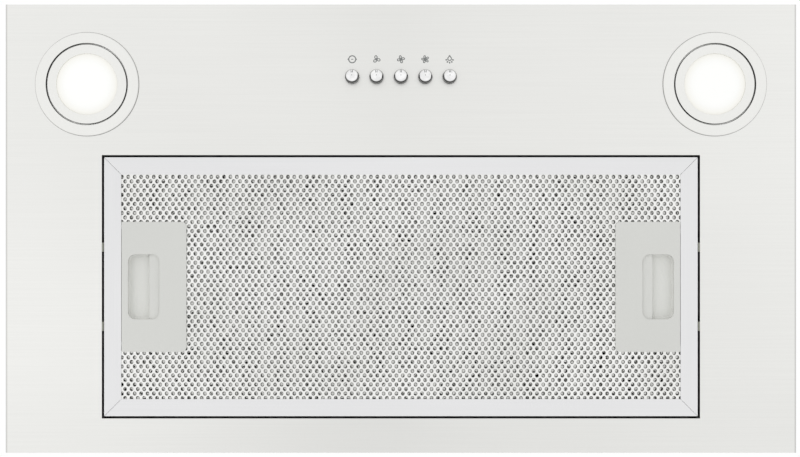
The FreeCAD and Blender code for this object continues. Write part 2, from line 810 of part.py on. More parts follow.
def lug_spots():
    """Screw lugs on the casing's rim, each set just outside one of its arcs or its rear wall."""
    half = d.scroll_step / 2
    out = d.scroll_wall + d.scroll_lug - 1
    diagonal = math.sqrt(0.5)
    spots = []
    for number, (py, pz, sy, sz) in enumerate(((-1, -1, -1, 1), (1, -1, -1, -1), (1, 1, 1, -1))):
        reach = (d.scroll_start + d.scroll_step * number + out) * diagonal
        spots.append((WHEEL_LINE + py * half + sy * reach, d.wheel_height + pz * half + sz * reach))
    spots.append((OUTLET_REAR + out, d.wheel_height + d.scroll_start * 0.6))
    return spots


def make_scroll():
    length = d.scroll_half
    hollow = d.scroll_half - d.scroll_wall
    top = HOUSING_HEIGHT - d.wheel_height
    for name, side in LAMPS:
        body = new_body(f"scroll_{name}")
        low = as_size(0) if side > 0 else -length
        outline = sketch(body, "x", (low, WHEEL_LINE, d.wheel_height))
        volute(outline, d.scroll_wall, top)
        pad(body, outline, length)
        lug_low = as_size(0) if side > 0 else -d.scroll_lug_depth
        for y, z in lug_spots():
            post(body, (lug_low, y, z), d.scroll_lug, d.scroll_lug_depth, "x")
        flange_at = (side * (hollow + d.scroll_flange / 2 + 1), OUTLET_MIDDLE,
                     HOUSING_HEIGHT - d.scroll_flange_sheet)
        block(body, flange_at, (d.scroll_flange + 2, OUTLET_REAR - OUTLET_FRONT, d.scroll_flange_sheet))
        inner = sketch(body, "x", (low if side > 0 else -hollow, WHEEL_LINE, d.wheel_height))
        volute(inner, as_size(0), top + 2)
        pocket(body, inner, hollow)
        bore(body, (side * length - 5, WHEEL_LINE, d.wheel_height), d.scroll_inlet, as_size(10), "x")
        gap = d.free_gap if side > 0 else d.bite_gap
        for y, z in lug_spots():
            bore(body, (lug_low - 1, y, z), d.screw_radius + gap, d.scroll_lug_depth + 2, "x")
        for x, y in OUTLET_SCREWS:
            if x.value * side > 0:
                bore(body, (x, y, HOUSING_HEIGHT - d.scroll_flange_sheet - 1), d.screw_radius + d.bite_gap,
                     d.scroll_flange_sheet + 2)
        if side < 0:
            for y, z in bracket_screw_spots():
                bore(body, (-length - 1, y, z), d.screw_radius + d.bite_gap, d.scroll_wall + 2, "x")
        keep(body, f"scroll_{name}")
    group("scroll_screws", [screw("x", (d.scroll_lug_depth, y, z), -1, d.scroll_lug_depth * 2 - 1)
                            for y, z in lug_spots()])
    group("blower_screws", [screw("z", (x, y, COVER_TOP), -1, d.screw_length / 2) for x, y in OUTLET_SCREWS])


def blade_outline(drawing):
    """One forward-curved blade of the wheel, drawn through points at three radii."""
    outer = d.wheel_radius - 0.3
    inner = d.wheel_radius - d.blade_depth
    middle = (outer + inner) / 2
    leans = ((inner, 0), (middle, 3.2), (outer, 9.5))
    ahead = [(radius * math.cos(math.radians(lean)), radius * math.sin(math.radians(lean)))
             for radius, lean in leans]
    behind = [(x, y - d.blade_sheet) for x, y in reversed(ahead)]
    polygon(drawing, ahead + behind)


def make_wheel():
    body = new_body("impeller")
    half = d.wheel_width / 2
    post(body, (-d.wheel_disc / 2, 0, 0), d.wheel_radius - 0.3, d.wheel_disc, "x")
    post(body, (-d.hub_behind, 0, 0), d.hub_radius, d.hub_behind + d.hub_ahead, "x")
    outline = sketch(body, "x", (-half, 0, 0))
    blade_outline(outline)
    blade = pad(body, outline, d.wheel_width)
    ring = body.newObject("PartDesign::PolarPattern", "blades")
    ring.Originals = [blade]
    ring.Axis = (origin_part(body, "X_Axis"), [""])
    ring.Angle = 360
    bind(ring, "Occurrences", d.blade_count)
    body.Tip = ring
    for start in (-half, half - d.wheel_ring):
        tube(body, (start, 0, 0), d.wheel_radius, d.wheel_radius - d.blade_depth / 2, d.wheel_ring, "x")
    bore(body, (-half, 0, 0), d.shaft_radius + d.fit_gap, d.wheel_width, "x")
    place(body, (0, WHEEL_LINE, d.wheel_height))
    keep(body, "impeller")
    nut = hex_nut("x", (d.hub_ahead, WHEEL_LINE, d.wheel_height), d.nut_radius,
                  d.shaft_radius + d.fit_gap, d.nut_height)
    keep(nut, "impeller_nut")


def bracket_screw_spots():
    """Three screws in the bracket's rim, a third of a turn apart."""
    radius = d.bracket_ring - d.bracket_rim / 2
    return [(WHEEL_LINE + radius * math.cos(angle), d.wheel_height + radius * math.sin(angle))
            for angle in (math.radians(90 + 120 * step) for step in range(3))]


def make_motor():
    y, z = WHEEL_LINE, d.wheel_height
    back = -d.scroll_half
    stator_back = -d.stator_from - d.stator_length
    shaft = new_body("motor_shaft")
    post(shaft, (back + 1, y, z), d.shaft_radius, d.scroll_half - 1 + d.shaft_end, "x")
    keep(shaft, "motor_shaft")

    rotor = new_body("rotor_core")
    rotor_start = stator_back + (d.stator_length - d.rotor_length) / 2
    tube(rotor, (rotor_start, y, z), d.rotor_radius, d.shaft_radius + d.fit_gap, d.rotor_length, "x")
    keep(rotor, "rotor_core")

    stator = new_body("stator_core")
    tube(stator, (stator_back, y, z), d.stator_radius, d.stator_bore, d.stator_length, "x")
    keep(stator, "stator_core")

    coils = []
    for number, start in enumerate((stator_back - d.winding_length, -d.stator_from)):
        coil = new_body(f"winding_{number}")
        tube(coil, (start, y, z), d.winding_outer, d.winding_inner, d.winding_length, "x")
        coils.append(coil)
    group("stator_windings", coils)

    for label, low, high, closed_low in (("motor_can_outer", back, stator_back, True),
                                         ("motor_can_inner", -d.stator_from, -d.can_inner_end, False)):
        can = new_body(label)
        post(can, (low, y, z), d.stator_radius, high - low, "x")
        hollow_low = low + d.can_wall if closed_low else low
        bore(can, (hollow_low, y, z), d.stator_radius - d.can_wall, high - low - d.can_wall, "x")
        boss_low = low if closed_low else high - d.bush_length
        tube(can, (boss_low, y, z), d.bush_boss, d.bush_radius + d.fit_gap, d.bush_length, "x")
        bore(can, (low - 1, y, z), d.bush_radius + d.fit_gap, high - low + 2, "x")
        keep(can, label)

    bushes = []
    for number, start in enumerate((back, -d.can_inner_end - d.bush_length)):
        bush = new_body(f"bush_{number}")
        tube(bush, (start, y, z), d.bush_radius, d.shaft_radius + d.fit_gap, d.bush_length, "x")
        bushes.append(bush)
    group("motor_bushes", bushes)

    bracket = new_body("motor_bracket")
    start = back - d.bracket_sheet
    tube(bracket, (start, y, z), d.bracket_ring, d.bracket_ring - d.bracket_rim, d.bracket_sheet, "x")
    for step in range(3):
        angle = math.radians(90 + 120 * step)
        along, across = (math.cos(angle), math.sin(angle)), (-math.sin(angle), math.cos(angle))
        arm = sketch(bracket, "x", (start, y, z))
        reach = d.bracket_ring - d.bracket_rim / 2
        width = d.bracket_arm / 2
        polygon(arm, [(near * along[0] + way * width * across[0], near * along[1] + way * width * across[1])
                      for near, way in ((d.bush_radius, -1), (reach, -1), (reach, 1), (d.bush_radius, 1))])
        pad(bracket, arm, d.bracket_sheet)
    post(bracket, (start, y, z), d.bracket_hub, d.bracket_sheet, "x")
    bore(bracket, (start - 1, y, z), d.bush_radius + d.free_gap, d.bracket_sheet + 2, "x")
    for spot_y, spot_z in bracket_screw_spots():
        bore(bracket, (start - 1, spot_y, spot_z), d.screw_radius + d.free_gap, d.bracket_sheet + 2, "x")
    keep(bracket, "motor_bracket")
    seats = [(start, spot_y, spot_z) for spot_y, spot_z in bracket_screw_spots()]
    group("bracket_screws", [screw("x", seat, 1, d.screw_length / 2) for seat in seats])


def make_electrics():
    deck = d.bay_height + d.bay_sheet
    stud_at = (d.capacitor_right, CAPACITOR_LINE, deck - d.capacitor_stud_length)
    can_at = (d.capacitor_right, CAPACITOR_LINE, deck)
    capacitor = fused([rod("z", can_at, d.capacitor_radius, d.capacitor_height),
                       rod("z", stud_at, d.capacitor_stud, d.capacitor_stud_length)])
    keep(capacitor, "capacitor")

    driver = new_body("led_driver")
    driver_size = (d.driver_width, d.driver_depth, d.driver_height)
    case = block(driver, (-d.driver_left, CAPACITOR_LINE, deck), driver_size)
    round_edges(driver, case, d.bend_radius, lambda edge: abs(edge.Vertexes[0].Z - edge.Vertexes[1].Z) > 1)
    keep(driver, "led_driver")

    wall = INNER_DEPTH / 2
    terminal = new_body("terminal_box")
    outside = (d.terminal_width, d.terminal_height, d.terminal_depth)
    block(terminal, (GLAND_X, wall, GLAND_HEIGHT), outside, "y")
    inside = (d.terminal_width - d.terminal_wall * 2, d.terminal_height - d.terminal_wall * 2,
              d.terminal_depth - d.terminal_wall + 1)
    slot(terminal, (GLAND_X, wall + 1, GLAND_HEIGHT), inside, "y")
    keep(terminal, "terminal_box")

    gland = new_body("cable_gland")
    tip = HOUSING_DEPTH / 2 + d.gland_reach
    through = d.gland_reach * 2 + d.housing_sheet
    post(gland, (GLAND_X, tip, GLAND_HEIGHT), d.gland_collar, d.gland_reach, "y")
    post(gland, (GLAND_X, tip, GLAND_HEIGHT), d.gland_radius, through, "y")
    bore(gland, (GLAND_X, tip + 1, GLAND_HEIGHT), d.gland_bore, through + 2, "y")
    keep(gland, "cable_gland")


def make_buttons():
    plate_low = as_size(0)
    plate_high = plate_low + d.bracket_plate
    bank = (0, BUTTON_LINE)
    bracket = new_body("switch_bracket")
    block(bracket, (*bank, plate_low), (d.bracket_width, d.bracket_depth, d.bracket_plate))
    for side in (-1, 1):
        leg_x = side * (d.bracket_width / 2 - d.bracket_plate / 2)
        leg = (d.bracket_plate, d.bracket_depth, plate_high - PLATE_TOP)
        block(bracket, (leg_x, bank[1], PLATE_TOP), leg)
        foot_x = side * (d.bracket_width / 2 + d.bracket_foot / 2 - d.bracket_plate / 2)
        foot = (d.bracket_foot + d.bracket_plate, d.bracket_depth, d.bracket_plate)
        block(bracket, (foot_x, bank[1], PLATE_TOP), foot)
    switch = new_body("switch_block")
    block(switch, (*bank, plate_high), (d.switch_width, d.switch_depth, d.switch_height))
    for number, name in enumerate(BUTTONS):
        x = d.button_pitch * (number - 2)
        bore(bracket, (x, bank[1], plate_low - 1), d.button_stem + d.free_gap, d.bracket_plate + 2)
        bore(switch, (x, bank[1], plate_high - 1), d.button_stem + d.bite_gap, d.switch_bore_depth + 1)
        tab = (d.blade_tab, d.bay_sheet, d.blade_tab + 1)
        block(switch, (x, bank[1], plate_high + d.switch_height - 1), tab)
        make_button(name, x)
    keep(bracket, "switch_bracket")
    keep(switch, "switch_block")


def make_button(name, x):
    """A domed cap with an inner collar that stops it at the sheet, and a stem that runs in the switch."""
    at = (x, BUTTON_LINE, FACE)
    seat = d.panel_sheet + d.slide_gap
    shoulder = seat + d.button_collar_sheet
    points = [(d.button_radius, seat), (d.button_collar, seat), (d.button_collar, shoulder),
              (d.button_stem, shoulder), (d.button_stem, d.button_stem_top)]
    button = domed(f"button_{name}", at, -d.button_proud, (d.button_radius, -d.button_straight), points)
    keep(button, f"button_{name}")
    start = Vector(x.value, BUTTON_LINE.value, (FACE + shoulder).value)
    coil = coil_spring(f"button_spring_{name}", start, Vector(0, 0, 1), d.button_spring_radius.value,
                       -(FACE + shoulder).value)
    keep(coil, f"button_spring_{name}")


def biarc(start, leaving, end, arriving):
    """Two arcs that meet smoothly between two points with given directions."""
    across = end - start
    total = leaving + arriving
    turn = 1 - leaving.dot(arriving)
    along = across.dot(total)
    reach = (math.sqrt(along**2 + 2 * turn * across.dot(across)) - along) / (2 * turn)
    middle = (start + end + (leaving - arriving) * reach) * 0.5
    return [half_arc(start, leaving, middle), half_arc(end, -arriving, middle).reversed()]


def half_arc(start, leaving, end):
    chord = end - start
    heading = Vector(chord).normalize()
    bisector = (leaving + heading).normalize()
    crest = start + bisector * (chord.Length / (2 * bisector.dot(heading)))
    return Part.Arc(start, crest, end).toShape()


def coil_spring(label, start, axis, radius, length):
    """A wound spring between two flat seats, as one pipe along half turns of biarcs."""
    wire = d.spring_wire.value / 2
    turns = int(d.spring_turns.value)
    margin = wire + d.bite_gap.value
    rise = (length - 2 * margin) / turns
    side = axis.cross(Vector(0, 1, 0)).normalize()
    other = axis.cross(side)
    climb = rise / (2 * math.pi)

    def point(angle):
        around = side * math.cos(angle) + other * math.sin(angle)
        return start + axis * (margin + climb * angle) + around * radius

    def heading(angle):
        return ((other * math.cos(angle) - side * math.sin(angle)) * radius + axis * climb).normalize()

    edges = []
    for step in range(2 * turns):
        low, high = step * math.pi, (step + 1) * math.pi
        edges += biarc(point(low), heading(low), point(high), heading(high))
    spine = Part.Wire(edges)
    profile = Part.Wire([Part.makeCircle(wire, point(0), heading(0))])
    spots = [point(step * math.pi / 12) for step in range(24 * turns + 1)]
    least = min((spots[i] - spots[j]).Length for i in range(len(spots)) for j in range(i + 12, len(spots)))
    print(f"{label}: least gap between turns {least - 2 * wire:.2f} mm")
    solid = spine.makePipeShell([profile], True, False)
    spring = doc.addObject("Part::Feature", label)
    spring.Shape = solid
    return spring


def make_lamps():
    boards, clips = [], []
    for name, side in LAMPS:
        at = (side * LAMP_SPREAD, LAMP_LINE, FACE)
        zero = as_size(0)
        throat = d.barrel_radius - d.barrel_wall
        roof = d.barrel_height - d.barrel_wall
        bezel = turned(f"lamp_bezel_{name}", at, [
            (d.bezel_bore, -d.bezel_face), (d.bezel_radius - d.bezel_bevel, -d.bezel_face),
            (d.bezel_radius, -d.bezel_face + d.bezel_bevel), (d.bezel_radius, zero), (d.barrel_radius, zero),
            (d.barrel_radius, d.barrel_height), (zero, d.barrel_height), (zero, roof), (throat, roof),
            (throat, d.bezel_shoulder), (d.bezel_bore, d.bezel_shoulder)])
        keep(bezel, f"lamp_bezel_{name}")
        rest = d.bezel_shoulder + d.slide_gap
        pocket_radius = d.lens_radius + d.free_gap
        ring = turned(f"lamp_ring_{name}", at, [
            (d.ring_bore, -d.ring_proud), (d.ring_radius, -d.ring_proud), (d.ring_radius, rest),
            (d.ring_flange, rest), (d.ring_flange, d.ring_top), (pocket_radius, d.ring_top),
            (pocket_radius, d.ring_seat), (d.ring_bore, d.ring_seat)])
        keep(ring, f"lamp_ring_{name}")
        lens_neck = d.ring_bore - d.free_gap
        lens_top = d.ring_seat + d.lens_sheet
        lens = domed(f"lamp_lens_{name}", at, -d.lens_crown, (lens_neck, zero - d.lens_crown * 0.2), [
            (lens_neck, d.ring_seat), (d.lens_radius, d.ring_seat), (d.lens_radius, lens_top)])
        keep(lens, f"lamp_lens_{name}")
        board_at = shifted(at, "z", roof - d.board_sheet)
        chip_level = shifted(at, "z", roof - d.board_sheet * 1.5)
        chip = (d.board_sheet * 3, d.board_sheet * 3, d.board_sheet)
        pitch = d.board_radius / 2
        chips = [box(shifted(shifted(chip_level, "x", dx * pitch), "y", dy * pitch), chip)
                 for dx in (-1, 0, 1) for dy in (-1, 0, 1)]
        boards.append(fused([rod("z", board_at, d.board_radius, d.board_sheet), *chips]))
        for quarter in (45, 225):
            clips.append(lamp_clip(f"lamp_clip_{name}_{quarter}", at, quarter))
    group("lamp_boards", boards)
    group("lamp_clips", clips)


def lamp_clip(label, at, angle):
    """A bent spring strip from the lamp's barrel down to the sheet's upper face."""
    body = new_body(label)
    inner = d.barrel_radius + d.bite_gap
    outer = inner + d.lamp_clip_sheet
    top = d.barrel_height - d.barrel_wall - 1
    under = top - d.lamp_clip_sheet
    strip = sketch(body, "y", (0, d.lamp_clip_width / 2, 0))
    polygon(strip, [(inner, top / 2), (inner, top), (outer + d.lamp_clip_sheet * 2, top),
                    (d.lamp_clip_reach, d.panel_sheet),
                    (d.lamp_clip_reach - d.lamp_clip_sheet * 1.2, d.panel_sheet),
                    (outer + d.lamp_clip_sheet, under), (outer, under), (outer, top / 2)])
    pad(body, strip, d.lamp_clip_width)
    place(body, at, FreeCAD.Rotation(Vector(0, 0, 1), angle))
    return body


# The grease filter: places are given as distances out from its middle line

RAIL_OUT = FILTER_WIDTH / 2
RAIL_IN = RAIL_OUT - d.rail_width
HANDLE_OUT = RAIL_IN - d.handle_rail_gap
HANDLE_IN = HANDLE_OUT - d.handle_width
RECESS_OUT = HANDLE_OUT - d.recess_inset
RECESS_IN = RECESS_OUT - d.recess_width
LATCH_EDGE = RECESS_IN + d.ledge_width
WEB_TOP = FACE + d.rail_sheet
MESH_TOP = WEB_TOP + d.mesh_sheet
FILTER_TOP = FACE + d.filter_height
LATCH_LOW = WEB_TOP + d.slide_gap
LATCH_TOP = LATCH_LOW + d.latch_sheet
CUT_IN = HANDLE_IN + d.handle_overlap
CUT_DEPTH = d.handle_depth - d.handle_overlap * 2
SEAT_IN = LATCH_EDGE - d.latch_bar
POST_OUT = CUT_IN + d.spring_post_inset * 2


def make_rails():
    long_rail = new_body("long_rail")
    edge = MIDDLE - FILTER_DEPTH / 2
    outline = sketch(long_rail, "z", (0, edge, FACE))
    polygon(outline, [(-RAIL_OUT, 0), (RAIL_OUT, 0), (RAIL_IN, d.rail_width), (-RAIL_IN, d.rail_width)])
    pad(long_rail, outline, d.filter_height)
    depth = d.rail_width - d.rail_sheet + 1
    height = d.filter_height - d.rail_sheet * 2
    slot(long_rail, (0, edge + d.rail_sheet + depth / 2, WEB_TOP), (FILTER_WIDTH + 2, depth, height))
    group("filter_rails_long", [long_rail, mirrored(long_rail, "y", MIDDLE)])

    short_rail = new_body("short_rail")
    half = FILTER_DEPTH / 2
    outline = sketch(short_rail, "z", (-RAIL_OUT, MIDDLE, FACE))
    polygon(outline, [(0, -half), (d.rail_width, d.rail_width - half),
                      (d.rail_width, half - d.rail_width), (0, half)])
    pad(short_rail, outline, d.filter_height)
    hollow_x = -RAIL_OUT + d.rail_sheet + depth / 2
    slot(short_rail, (hollow_x, MIDDLE, WEB_TOP), (depth, FILTER_DEPTH + 2, height))
    for way in (-1, 1):
        window = (d.rail_sheet + 2, d.arm_width + d.free_gap * 2, d.latch_sheet + d.slide_gap * 2)
        slot(short_rail, (-RAIL_OUT, MIDDLE + way * d.arm_spread, WEB_TOP), window)
    group("filter_rails_short", [short_rail, mirrored(short_rail, "x", as_size(0))])


def mirrored(source, axis, level):
    image = doc.addObject("Part::Mirroring", "mirrored")
    image.Source = source
    image.Normal = Vector(*(1 if name == axis else 0 for name in "xyz"))
    bind(image, f"Base.{axis}", level)
    return image


def make_mesh():
    """The filter's face: a sheet of diamond gaps in staggered rows, notched for the two handles."""
    columns, rows = int(d.mesh_columns.value), int(d.mesh_rows.value)
    width = (FILTER_WIDTH - (d.rail_sheet + d.mesh_inset) * 2).value
    depth = (FILTER_DEPTH - (d.rail_sheet + d.mesh_inset) * 2).value
    notch_x, notch_y = CUT_IN.value, CUT_DEPTH.value / 2
    x, y, level = width / 2, depth / 2, WEB_TOP.value
    middle = MIDDLE.value
    rim = [(-x, -y), (x, -y), (x, -notch_y), (notch_x, -notch_y), (notch_x, notch_y), (x, notch_y), (x, y),
           (-x, y), (-x, notch_y), (-notch_x, notch_y), (-notch_x, -notch_y), (-x, -notch_y)]
    field_x, field_y = RAIL_IN.value, (FILTER_DEPTH / 2 - d.rail_width).value
    step_x, step_y = 2 * field_x / columns, 2 * field_y / rows
    half_x, half_y = (step_x - d.mesh_strand.value) / 2, (step_y - d.mesh_strand.value / 2) / 2
    outlines = [closed_wire([(px, py + middle) for px, py in rim], level)]
    edge = d.mesh_strand.value / 2
    for row in range(rows):
        shift = 0.25 if row % 2 else -0.25
        for column in range(columns):
            cx = -field_x + (column + 0.5 + shift) * step_x
            cy = -field_y + (row + 0.5) * step_y
            beside = abs(cx) + half_x + edge > notch_x and abs(cy) < notch_y + half_y + edge
            if beside or abs(cx) + half_x > field_x + edge:
                continue
            gap = [(cx - half_x, cy), (cx, cy + half_y), (cx + half_x, cy), (cx, cy - half_y)]
            outlines.append(closed_wire([(px, py + middle) for px, py in gap], level))
    net = Part.Face([outlines[0], *outlines[1:]])
    net.validate()
    mesh = doc.addObject("Part::Feature", "filter_mesh")
    mesh.Shape = net.extrude(Vector(0, 0, d.mesh_sheet.value))
    print(f"filter_mesh: {len(outlines) - 1} gaps")
    keep(mesh, "filter_mesh")

    core = new_body("filter_core")
    inset = (d.rail_sheet + d.mesh_inset) * 2
    pitch = (FILTER_WIDTH - inset) / d.pleat_count
    rise = FILTER_TOP - d.rail_sheet - MESH_TOP
    rear = MIDDLE + (FILTER_DEPTH - inset) / 2
    outline = sketch(core, "y", (-(FILTER_WIDTH - inset) / 2, rear, MESH_TOP))
    polygon(outline, [(0, 0), (pitch / 2, rise - d.pleat_sheet), (pitch, 0), (pitch, d.pleat_sheet),
                      (pitch / 2, rise), (0, d.pleat_sheet)])
    pleat = pad(core, outline, FILTER_DEPTH - inset)
    row = core.newObject("PartDesign::LinearPattern", "pleats")
    row.Originals = [pleat]
    row.Direction = (origin_part(core, "X_Axis"), [""])
    bind(row, "Length", FILTER_WIDTH - inset - pitch)
    bind(row, "Occurrences", d.pleat_count)
    core.Tip = row
    for side in (-1, 1):
        notch = (d.rail_width * 8, CUT_DEPTH, d.filter_height)
        slot(core, (side * (CUT_IN + d.rail_width * 4), MIDDLE, MESH_TOP - 1), notch)
    keep(core, "filter_core")


def closed_wire(points, level):
    return Part.makePolygon([Vector(x, y, level) for x, y in points + points[:1]])


def span_between(side, far, near):
    """The middle and the width of a stretch between two distances out from the middle line."""
    return side * ((far + near) / 2), far - near


def make_handle(name, side):
    body = new_body(f"handle_{name}")
    plate_low = WEB_TOP - d.handle_sheet
    x, width = span_between(side, HANDLE_OUT, HANDLE_IN)
    plate = block(body, (x, MIDDLE, plate_low), (width, d.handle_depth, d.handle_sheet))

    def inner_corner(edge):
        low, high = edge.Vertexes[0].Point, edge.Vertexes[-1].Point
        return abs(high.z - low.z) > 0.5 and abs(low.x) < HANDLE_IN.value + 1

    round_edges(body, plate, d.handle_corner, inner_corner)
    pan_out = RECESS_OUT + d.pan_wall
    wall_in = LATCH_EDGE + d.free_gap * 2
    roof_top = FILTER_TOP - d.slide_gap
    pan_depth = d.recess_depth + d.pan_wall * 2
    x, width = span_between(side, pan_out, wall_in)
    pan_low = WEB_TOP - d.handle_sheet / 2
    block(body, (x, MIDDLE, pan_low), (width, pan_depth, roof_top - pan_low))
    lip_in = LATCH_EDGE - d.latch_sheet - d.latch_travel - 1
    over_slide = LATCH_TOP + d.slide_gap
    x, width = span_between(side, wall_in + 1, lip_in - d.pan_wall)
    block(body, (x, MIDDLE, over_slide), (width, pan_depth, roof_top - over_slide))
    ceiling = FILTER_TOP - d.recess_roof
    x, width = span_between(side, LATCH_EDGE + 2, lip_in)
    slot(body, (x, MIDDLE, over_slide - 1), (width, d.recess_depth, ceiling - over_slide + 1))
    x, width = span_between(side, RECESS_OUT, RECESS_IN)
    drawing = sketch(body, "z", (x, MIDDLE, plate_low - 1))
    rounded_rectangle(drawing, d.recess_width, d.recess_depth, d.recess_corner)
    pocket(body, drawing, ceiling - plate_low + 1)
    for way in (-1, 1):
        x, width = span_between(side, POST_OUT, POST_OUT - d.spring_post_inset)
        at = (x, MIDDLE + way * d.arm_spread, WEB_TOP - d.handle_sheet / 2)
        block(body, at, (width, d.arm_width, d.spring_seat_height + LATCH_TOP - WEB_TOP + d.handle_sheet / 2))
    keep(body, f"handle_{name}")


def make_latch(name, side):
    """A flat fork behind the handle: a bar with a finger lip and two arms that end in the prongs."""
    body = new_body(f"slider_{name}")
    tip = OPENING_WIDTH / 2 - d.catch_sheet - d.free_gap
    spread = d.arm_spread * 2 + d.arm_width
    x, width = span_between(side, LATCH_EDGE, SEAT_IN)
    block(body, (x, MIDDLE, LATCH_LOW), (width, spread, d.latch_sheet))
    for way in (-1, 1):
        x, width = span_between(side, tip, LATCH_EDGE - 1)
        block(body, (x, MIDDLE + way * d.arm_spread, LATCH_LOW), (width, d.arm_width, d.latch_sheet))
        x, width = span_between(side, SEAT_IN + d.spring_post_inset, SEAT_IN)
        block(body, (x, MIDDLE + way * d.arm_spread, LATCH_LOW),
              (width, d.arm_width, d.latch_sheet + d.spring_seat_height))
    x, width = span_between(side, LATCH_EDGE, LATCH_EDGE - d.latch_sheet)
    lip_depth = d.recess_depth - d.free_gap * 4
    block(body, (x, MIDDLE, LATCH_LOW), (width, lip_depth, d.latch_sheet + d.latch_lip))
    keep(body, f"slider_{name}")
    coils = []
    level = LATCH_TOP.value + d.spring_seat_height.value / 2
    for way in (-1, 1):
        start = Vector(side * SEAT_IN.value, (MIDDLE + way * d.arm_spread).value, level)
        label = f"latch_spring_{name}_{way}"
        coils.append(coil_spring(label, start, Vector(-side, 0, 0), d.latch_spring_radius.value,
                                 (SEAT_IN - POST_OUT).value))
    group(f"latch_springs_{name}", coils)


def make_catches():
    """Sprung clips over the opening's lip, each with a nose under one prong."""
    clips = []
    wall = OPENING_WIDTH / 2
    low = FACE + d.slide_gap
    under_prong = LATCH_LOW - d.slide_gap
    lip_top = FACE + d.lip_height
    for name, side in LAMPS:
        for way in (-1, 1):
            clip = new_body(f"catch_{name}_{way}")
            strip = sketch(clip, "y", (0, MIDDLE + way * d.arm_spread + d.arm_width / 2, 0))
            outer = wall + d.panel_sheet
            inner = wall - d.catch_sheet
            corners = [(wall, low), (wall, lip_top), (outer, lip_top), (outer, lip_top - d.lip_height / 2),
                       (outer + d.catch_sheet, lip_top - d.lip_height / 2),
                       (outer + d.catch_sheet, lip_top + d.catch_sheet), (inner, lip_top + d.catch_sheet),
                       (inner, under_prong), (wall - d.catch_nose, under_prong - d.catch_sheet), (inner, low)]
            polygon(strip, [(side * px, pz) for px, pz in corners])
            pad(clip, strip, d.arm_width)
            clips.append(clip)
    group("catch_springs", clips)


def write_parts():
    """Checks every object and piece, then writes one file for each piece."""
    doc.recompute()
    for thing in doc.Objects:
        if "Invalid" in thing.State or "Error" in thing.State:
            raise RuntimeError(f"{thing.Name} ({thing.Label}) failed: {thing.State}")
    for piece in nodes:
        if piece.Shape.isNull() or not piece.Shape.isValid() or not piece.Shape.Solids:
            raise RuntimeError(f"{piece.Label} has no valid solid")
    os.makedirs("parts", exist_ok=True)
    for piece in nodes:
        piece.Shape.exportStep(f"parts/{piece.Label}.step")
    print(f"{len(nodes)} pieces written")


make_fascia()
make_housing()
make_collar()
make_scroll()
make_wheel()
make_motor()
make_electrics()
make_buttons()
make_lamps()
make_rails()
make_mesh()
for side_name, side_sign in LAMPS:
    make_handle(side_name, side_sign)
    make_latch(side_name, side_sign)
make_catches()
write_parts()
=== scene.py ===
import math

import bmesh
import bpy
from bpy.props import FloatProperty, FloatVectorProperty, IntProperty, PointerProperty
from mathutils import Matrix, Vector


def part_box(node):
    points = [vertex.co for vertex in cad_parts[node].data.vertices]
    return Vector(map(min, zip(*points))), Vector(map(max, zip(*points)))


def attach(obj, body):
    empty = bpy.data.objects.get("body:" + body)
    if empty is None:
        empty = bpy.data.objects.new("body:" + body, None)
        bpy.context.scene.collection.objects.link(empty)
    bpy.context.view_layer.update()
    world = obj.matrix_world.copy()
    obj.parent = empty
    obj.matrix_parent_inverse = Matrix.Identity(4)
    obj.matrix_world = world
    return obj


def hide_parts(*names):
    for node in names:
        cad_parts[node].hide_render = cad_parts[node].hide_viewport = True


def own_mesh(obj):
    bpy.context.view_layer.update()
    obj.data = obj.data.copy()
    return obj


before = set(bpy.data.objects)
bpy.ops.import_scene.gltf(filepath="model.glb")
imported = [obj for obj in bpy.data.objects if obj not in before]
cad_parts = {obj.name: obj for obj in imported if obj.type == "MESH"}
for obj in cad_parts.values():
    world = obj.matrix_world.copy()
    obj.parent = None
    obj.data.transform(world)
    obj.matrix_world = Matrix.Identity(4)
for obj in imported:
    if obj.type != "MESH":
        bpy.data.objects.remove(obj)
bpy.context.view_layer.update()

bl_info = {
    "name": "Range hood looks",
    "version": (1, 0, 0),
    "blender": (4, 5, 0),
    "location": "3D View > Sidebar > Range hood",
    "description": "Builds the visible pieces of an undermount range hood around its packed frame",
    "category": "Object",
}

MM = 0.001

# Places read from the frame

FASCIA_LOW, FASCIA_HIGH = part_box("fascia_panel")
RAILS_LOW, RAILS_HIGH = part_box("filter_rails_long")
MESH_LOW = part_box("filter_mesh")[0]
CORE_LOW, CORE_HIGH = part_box("filter_core")
HANDLE_LOW, HANDLE_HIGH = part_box("handle_left")
SLIDER_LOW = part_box("slider_left")[0]
HOUSING_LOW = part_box("housing_shell")[0]
FACE = FASCIA_LOW.z
FILTER_MIDDLE = (RAILS_LOW.y + RAILS_HIGH.y) / 2


def middle_of(node):
    low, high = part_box(node)
    return (low + high) / 2


LAMP_CENTRE = middle_of("lamp_bezel_left")
BUTTON_CENTRE = middle_of("button_off")
BUTTON_NAMES = ["off", "speed_1", "speed_2", "speed_3", "light"]

# Sizes that several pieces share, and tolerances

LAMP_HOLE = 29.95 * MM  # radius of the holes that the lamps sit in
LENS_REACH = 20.5 * MM  # how far the glow of a lens goes
PRONG_SPREAD = 26 * MM  # from the filter's middle line to a latch prong
SLIDE_PLAY = 0.15 * MM
OVER_SLIDE = SLIDER_LOW.z + 1.2 * MM + SLIDE_PLAY  # above the latch slide's sheet
FIELD_X, FIELD_Y = 186.6 * MM, 76 * MM  # half sizes of the area that the filter's sheets fill
CUTOUT_X, CUTOUT_Y = 144.1 * MM, 36 * MM  # they leave room for a handle beyond X and within Y
PLEAT_X, PLEAT_Y = 145 * MM, 38.7 * MM  # so do the pleats
HAIR = 0.01 * MM  # places closer than this count as the same
MERGE = 1e-6  # corners closer than this are merged
UP = 2  # number of the upright axis


